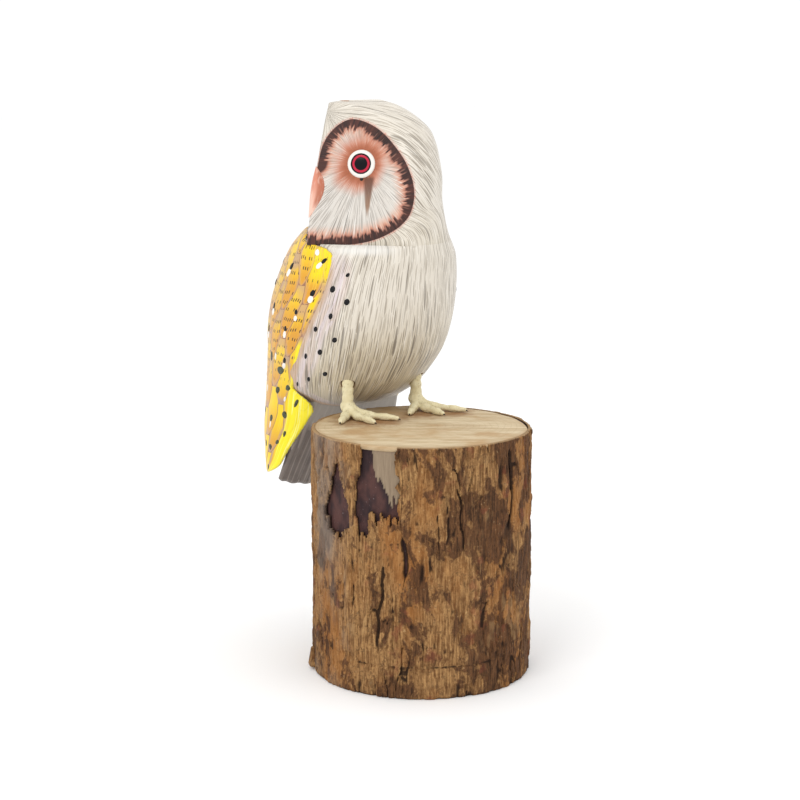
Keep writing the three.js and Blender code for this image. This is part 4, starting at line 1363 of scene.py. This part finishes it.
def add_eye(side_name, side, material):
    """A turned button: a pupil dome, a stepped iris and a rounded white rim."""
    top, *wall, foot = EYE_PROFILE
    columns = 96
    origin, along, up, out = facet_frame(side, EYE["height"])
    angle = np.linspace(0, TAU, columns, endpoint=False)
    rings = []
    for radius, rise in wall:
        across = np.outer(radius * np.cos(angle), along) + np.outer(radius * np.sin(angle), up)
        rings.append(origin + EYE["along"] * along + across + rise * out)
    rings = np.array(rings)
    centres = [origin + EYE["along"] * along + rise * out for _, rise in (top, foot)]
    points = np.concatenate([rings.reshape(-1, 3), centres])
    points = to_head(points[:, 0], points[:, 1], points[:, 2])
    ring = np.concatenate([np.repeat([radius for radius, _ in wall], columns), [0, EYE["radius"]]])
    piece = add_mesh(f"{side_name}_eye_button", points, tube_faces(len(rings), columns), material,
                     {"ring": ring})
    soften(merge(piece))
    finish_piece(piece, "eye_paint", f"{side_name}_eye")


def soften(piece):
    """Applies one level of subdivision surface."""
    smoother = piece.modifiers.new("smooth", "SUBSURF")
    smoother.levels = smoother.render_levels = 1
    apply_modifiers(piece)


def add_beak(material):
    """A spindle, widest a little above its middle, let into the ridge between the facets."""
    rows, columns = 70, 48
    length = BEAK["top"] - BEAK["bottom"]
    down = 1 - np.linspace(0.004, 0.996, rows)
    bulge = np.where(down < BEAK["widest"], np.sin(math.pi / 2 * down / BEAK["widest"]),
                     np.cos(math.pi / 2 * (down - BEAK["widest"]) / (1 - BEAK["widest"])))
    radius = bulge * BEAK["radius"]
    height = BEAK["bottom"] + (1 - down) * length
    angle = np.linspace(0, TAU, columns, endpoint=False)
    ridge = 1 + 0.02 * np.exp(-((np.abs(angle - math.pi) / 0.5) ** 2))
    x = radius[:, None] * np.sin(angle) * (1 - 0.06 * np.cos(angle * 2))
    y = radius[:, None] * np.cos(angle) * ridge + (BEAK["sink"] * radius - keel_forward(height))[:, None]
    z = height[:, None] + 0 * x
    side = np.append((np.abs(np.sin(angle)) + 0 * x).ravel(), [0, 0])
    up = np.append(((z - BEAK["bottom"]) / length).ravel(), [0, 1])
    marks = {"spindle": np.stack([side, up, 0 * up], -1)}
    finish_piece(add_tube("beak_carving", to_head(x, y, z), material, marks), "beak_paint", "beak")


# ------------------------------------------------------------------ dabs of paint

# Bearing from the breast in degrees and height, then the dab's half width and half height.
BREAST_SPOTS = [
    (46.6, 187, 0.9, 1.0), (54, 180.1, 1.3, 1.6), (43.8, 174.3, 1.3, 1.5), (52.7, 167.2, 1.0, 1.4),
    (48.4, 155.7, 1.2, 1.3), (61.7, 160.5, 1.0, 1.3), (57.3, 149.2, 1.2, 1.4), (51.7, 137.8, 1.2, 1.2),
    (67.4, 146.5, 0.8, 1.5), (64.1, 134.2, 0.8, 1.3), (74.8, 130.5, 0.5, 1.4),
]
TEARDROPS = [
    (65.5, 193, 1.15, 2.0, 42), (95, 188.6, 1.5, 2.1, 12), (67.2, 177.6, 1.45, 2.0, 8),
    (76.7, 167.8, 1.4, 2.1, 0), (104, 168.5, 1.3, 2.0, 6), (85, 159, 1.2, 2.1, 6),
    (84, 142.4, 1.2, 1.8, 4), (118, 179, 1.2, 2.0, 4), (112, 156, 1.2, 2.0, 4),
    (132, 166, 1.2, 2.0, 2), (128, 189, 1.2, 1.9, 6), (148, 177, 1.2, 2.0, 0), (146, 156, 1.2, 2.0, 0),
    (126, 144, 1.2, 1.9, 2),
]
DROP_HEAD = 1.75  # half the height of the dark dab that each white drop hangs from
WHITE_MARKS = [(74, 196.6, 1.1, 1.9, -50), (95.6, 143.5, 0.7, 2.0, 5), (78, 121.2, 0.7, 1.4, 0),
               (94, 105.8, 0.8, 2.4, 8), (110, 124, 0.8, 2.2, 4), (118, 104, 0.8, 2.2, 4)]
LEAF_SPOTS = [
    (88.7, 125.2, 1.9, 2.0, 0), (77, 127.6, 1.7, 1.5, 40), (65.5, 119.8, 1.0, 2.3, 10),
    (75.1, 112.6, 1.5, 2.1, -35), (93.3, 109.2, 1.7, 2.4, 10), (71.7, 102.4, 1.0, 1.9, 10),
    (80.1, 97.4, 1.4, 1.9, 60), (92, 94, 2.1, 2.0, 0), (103, 94.8, 1.3, 2.2, 5), (97.7, 82.6, 1.2, 1.8, 0),
    (102.6, 142.6, 1.6, 2.8, 5), (88, 136.4, 2.9, 2.2, 0), (112, 112, 1.7, 2.2, 6),
    (124, 130, 1.7, 2.2, 6), (122, 95, 1.6, 2.0, 4), (138, 118, 1.6, 2.1, 3), (140, 140, 1.6, 2.1, 3),
]
DAB_RISE = 0.28
DAB_RINGS = (1.02, 1.0, 0.86, 0.6, 0.3)  # each ring's share of a dab's size; the first is its foot


def dab(section_at, side, bearing, height, half_width, half_height, lean=0.0, narrow=0.0):
    """A thin raised dab on the owl's surface; narrow from -1 to 1 tapers its foot or its head."""
    turn = np.linspace(0, TAU, 28, endpoint=False)
    tilt = math.radians(lean)
    middle = section_at(np.array([height]))[0]
    radius = (middle[1] + middle[2]) / 2
    layers = []
    for share in DAB_RINGS:
        up = np.cos(turn) * half_height * share
        out = np.sin(turn) * half_width * share * (1 + narrow * np.cos(turn) * 0.45)
        x = out * math.cos(tilt) + up * math.sin(tilt)
        z = height + up * math.cos(tilt) - out * math.sin(tilt)
        angle = math.radians(bearing) - x / radius
        rise = -0.5 if share > 1 else 0.12 + DAB_RISE * math.sqrt(max(0, 1 - share**2))
        section = section_at(z)
        px, py = on_section(section, angle, side, rise)
        layers.append(np.stack([px, py, z], -1) + OWL)
    layers = np.array(layers)
    return capped_rings(layers), tube_faces(*layers.shape[:2])


def add_dabs(name, dabs, material):
    """Many dabs as one piece."""
    piece = merge(add_mesh(name, *joined(dabs), material))
    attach(piece, "root")


def on_wing(marks, side):
    """The marks that lie on a wing: the left one ends further back at its shoulder and blade."""
    return [mark for mark in marks if side < 0 or mark[0] > 82 or 134 < mark[1] < 180]


def teardrop(side, bearing, height, width, length, lean):
    """A dark dab with a white drop below it, both leaning by an angle."""
    tilt = math.radians(lean)
    reach = DROP_HEAD + 0.6 * length
    shift = math.degrees(reach * math.sin(tilt) / OWL_RADIUS)
    fall = reach * math.cos(tilt)
    head = dab(wing_at, side, bearing, height, width, DROP_HEAD, lean, -0.15)
    drop = dab(wing_at, side, bearing + shift, height - fall, width * 1.15, length, lean, -0.2)
    return head, drop


def add_all_dabs(black, white, green):
    """The spots on the breast, and the teardrops, white marks and leaf spots on the wings."""
    for side_name, side in (("right", -1), ("left", 1)):
        further = LEFT_SPOTS_TURN if side > 0 else 0
        spots = [dab(torso_at, side, spot[0] + further, *spot[1:]) for spot in BREAST_SPOTS]
        add_dabs(f"{side_name}_breast_spots", spots, black)
        heads, drops = zip(*[teardrop(side, *mark) for mark in on_wing(TEARDROPS, side)])
        marks = [dab(wing_at, side, *mark) for mark in on_wing(WHITE_MARKS, side)]
        add_dabs(f"{side_name}_teardrop_heads", heads, black)
        add_dabs(f"{side_name}_teardrop_tails", [*drops, *marks], white)
        leaves = [dab(wing_at, side, *leaf, 0.4) for leaf in on_wing(LEAF_SPOTS, side)]
        add_dabs(f"{side_name}_wing_spots", leaves, green)


# ------------------------------------------------------------------ feet

def toe_line(length, count):
    """A toe's centre line and thickness, from the ankle outwards along the log."""
    along = np.linspace(0, 1, count)
    knuckle = 1 + 0.13 * np.cos(along * math.pi * 5)
    radius = TOE_RADIUS * knuckle * (1 - 0.42 * along**2)
    drop = np.maximum(0, 1 - along * 2.2)
    height = TOE_RADIUS * 0.95 + (ANKLE["height"] - TOE_RADIUS) * drop**2
    return along * length, height - 0.25 * TOE_RADIUS * along**2, radius * (1 + 0.2 * drop)


def toe_point(foot_x, bearing, forward, height):
    """A point of a toe's centre line in the owl's frame."""
    turn = math.radians(bearing)
    return np.array([foot_x + forward * math.sin(turn), FOOT_Y - forward * math.cos(turn), height])


def ball(centre, radius, squash=1.0):
    """A closed round lump of putty."""
    rows, columns = 9, 14
    polar = np.linspace(0.12, math.pi - 0.12, rows)
    turn = np.linspace(0, TAU, columns, endpoint=False)
    x = radius * np.outer(np.sin(polar), np.cos(turn))
    y = radius * np.outer(np.sin(polar), np.sin(turn))
    z = -radius * squash * np.cos(polar)[:, None] + 0 * x
    return capped_rings(np.stack([x, y, z], -1) + centre), tube_faces(rows, columns)


def add_foot(side_name, foot_x, material):
    """A shank and three toes of pressed putty, fused into one lumpy skin."""
    lumps = []
    for height in np.arange(ANKLE["height"], SHANK["top"] - LOG_TOP - 0.2, 0.8):
        swell = 1 + 0.08 * math.sin(height * 1.7 + foot_x)
        centre = np.array([foot_x, FOOT_Y, LOG_TOP + height])
        lumps.append(ball(centre, SHANK["radius"] * swell))
    lumps.append(ball(np.array([foot_x, FOOT_Y, LOG_TOP + ANKLE["height"] - 0.6]), ANKLE["radius"], 0.9))
    for _, bearing, length in TOES:
        for forward, height, radius in zip(*toe_line(length, 46)):
            lumps.append(ball(toe_point(foot_x, bearing, forward, LOG_TOP + height), radius))
    points, faces = joined(lumps)
    piece = add_mesh(f"{side_name}_foot_putty", points + OWL, faces, material)
    fuse = piece.modifiers.new("fuse", "REMESH")
    fuse.mode, fuse.voxel_size, fuse.use_smooth_shade = "VOXEL", 0.33 * MM, True
    relax = piece.modifiers.new("relax", "SMOOTH")
    relax.factor, relax.iterations = 0.5, 6
    apply_modifiers(piece)
    knead(piece)
    piece.data.materials.clear()
    piece.data.materials.append(material)
    finish_piece(piece, "foot_putty", f"{side_name}_foot")


def knead(piece):
    """Presses wrinkles and lumps into the putty and keeps it on top of the log."""
    mesh = piece.data
    points = np.zeros(len(mesh.vertices) * 3)
    normals = np.zeros(len(mesh.vertices) * 3)
    mesh.vertices.foreach_get("co", points)
    mesh.vertices.foreach_get("normal", normals)
    points, normals = points.reshape(-1, 3) / MM, normals.reshape(-1, 3)
    push = 0.28 * layered_noise(points / 1.9, 3, 101) + 0.10 * noise(points / 0.6, 104)
    points = points + normals * push[:, None]
    points[:, 2] = np.maximum(points[:, 2], LOG_TOP + 0.12)
    mesh.vertices.foreach_set("co", (points * MM).ravel())
    mesh.update()


def add_claw(side_name, toe, foot_x, material):
    """The sharpened end of the wire, bent a little down."""
    name, bearing, length = toe
    rows, columns = 14, 16
    forward = np.linspace(length - 3, length + 2, rows)
    taper = np.sqrt(np.clip((length + 2.05 - forward) / 3, 0, 1))
    radius = 0.62 * np.minimum(1, taper)
    height = LOG_TOP + TOE_RADIUS * 0.75 - 0.05 * np.maximum(0, forward - length + 2) ** 2
    turn = math.radians(bearing)
    ahead = np.array([math.sin(turn), -math.cos(turn), 0])
    beside = np.array([ahead[1], -ahead[0], 0])
    angle = np.linspace(0, TAU, columns, endpoint=False)
    rings = []
    for f, r, h in zip(forward, radius, height):
        centre = toe_point(foot_x, bearing, f, h) + OWL
        above = np.outer(r * np.sin(angle), [0, 0, 1])
        rings.append(centre + np.outer(r * np.cos(angle), beside) + above)
    piece = add_tube(f"{side_name}_{name}_claw_wire", np.array(rings), material)
    finish_piece(piece, "claw_wire", f"{side_name}_{name}_claw")


# ------------------------------------------------------------------ hidden hardware

def dowel_wood():
    material, g = new_material("dowel_wood")
    grain = g.noise(g.stretched(g.place(), 1.0, 1.0, 0.12), 1.4, 4.0)
    shade(g, g.mix(grain, (0.45, 0.30, 0.16), (0.68, 0.50, 0.30)), 0.7, grain * 0.1)
    return material


def leg_steel():
    material, g = new_material("leg_steel")
    scratch = g.noise(g.stretched(g.place(), 1.0, 1.0, 0.05), 0.4, 3.0)
    shade(g, g.mix(scratch, (0.20, 0.19, 0.18), (0.42, 0.42, 0.43)), 0.4, scratch * 0.02)
    return material


def repaint(node, material):
    """Gives a carried-over CAD node a material and leaves its mesh alone."""
    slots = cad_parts[node].data.materials
    slots.clear()
    slots.append(material)


# ------------------------------------------------------------------ stage, light, camera

def add_floor():
    """A plain pale floor."""
    material, g = new_material("floor")
    cloud = g.noise(g.place(), 180.0, 2.0)
    shade(g, g.mix(cloud, (0.93, 0.93, 0.93), (0.95, 0.95, 0.95)), 0.9, specular=0.0)
    half, height = FLOOR["half"], FLOOR["height"]
    corners = [(x * half, y * half, height) for x, y in ((-1, -1), (1, -1), (1, 1), (-1, 1))]
    floor = add_mesh("floor", corners, [(0, 1, 2, 3)], material, smooth=False)


def add_area_light(name, place, size, power, colour):
    data = bpy.data.lights.new(name, "AREA")
    data.shape, data.size, data.energy, data.color = "SQUARE", size, power, colour
    lamp = bpy.data.objects.new(name, data)
    lamp.location = place
    lamp.rotation_mode = "QUATERNION"
    lamp.rotation_quaternion = (Vector(LIGHTS_AIM) - Vector(place)).to_track_quat("-Z", "Y")
    bpy.context.scene.collection.objects.link(lamp)


def add_lights():
    """A large soft key from the camera's upper left, weaker fill and top lights, and a sky."""
    for name, settings in LIGHTS.items():
        add_area_light(name, *settings)
    world = bpy.data.worlds.new("studio")
    world.use_nodes = True
    sky = world.node_tree.nodes["Background"]
    sky.inputs["Color"].default_value = (1, 1, 1, 1)
    sky.inputs["Strength"].default_value = SKY_STRENGTH
    bpy.context.scene.world = world


def add_camera():
    """Looks from the owl's front right, a little down."""
    turn, pitch = CAMERA["turn"], CAMERA["pitch"]
    data = bpy.data.cameras.new("camera")
    data.lens, data.sensor_width = CAMERA["lens"], CAMERA["sensor"]
    data.clip_start, data.clip_end = 0.05, 50
    camera = bpy.data.objects.new("camera", data)
    camera.location = Vector(CAMERA["place"]) * MM
    level = math.cos(pitch)
    look = Vector((math.sin(turn) * level, math.cos(turn) * level, -math.sin(pitch)))
    camera.rotation_mode = "QUATERNION"
    camera.rotation_quaternion = look.to_track_quat("-Z", "Y")
    bpy.context.scene.collection.objects.link(camera)
    bpy.context.scene.camera = camera


# ------------------------------------------------------------------ the assembly

def add_log():
    bark = bark_material()
    add_log_wood(sawn_wood())
    add_inner_bark(inner_bark_material())
    add_bark(bark)
    add_flake(bark)


def add_owl():
    add_torso(body_paint())
    add_head(head_paint())
    add_beak(beak_paint())
    add_tail(tail_paint())
    wing, eye = wing_paint(), eye_paint()
    for side_name, side in (("right", -1), ("left", 1)):
        add_wing(side_name, side, wing)
        add_eye(side_name, side, eye)
    black = plain_paint("spot_paint", ((0.006, 0.006, 0.007), (0.02, 0.02, 0.022)), 1.5, 0.3)
    white = plain_paint("drop_paint", ((0.88, 0.86, 0.82), (0.78, 0.75, 0.70)), 1.5, 0.35)
    green = plain_paint("leaf_paint", ((0.028, 0.035, 0.022), (0.10, 0.11, 0.07)), 1.5, 0.35)
    add_all_dabs(black, white, green)


def add_legs():
    clay = putty()
    wire = plain_paint("claw_paint", ((0.010, 0.009, 0.008), (0.05, 0.04, 0.035)), 1.0, 0.45)
    steel = leg_steel()
    for side_name, foot_x in FEET.items():
        add_foot(side_name, foot_x, clay)
        repaint(f"{side_name}_leg_rod", steel)
        for toe in TOES:
            add_claw(side_name, toe, foot_x, wire)
    repaint("neck_dowel", dowel_wood())


bpy.context.scene.view_settings.view_transform = "Standard"
add_camera()
add_lights()
add_floor()
add_log()
add_owl()
add_legs()
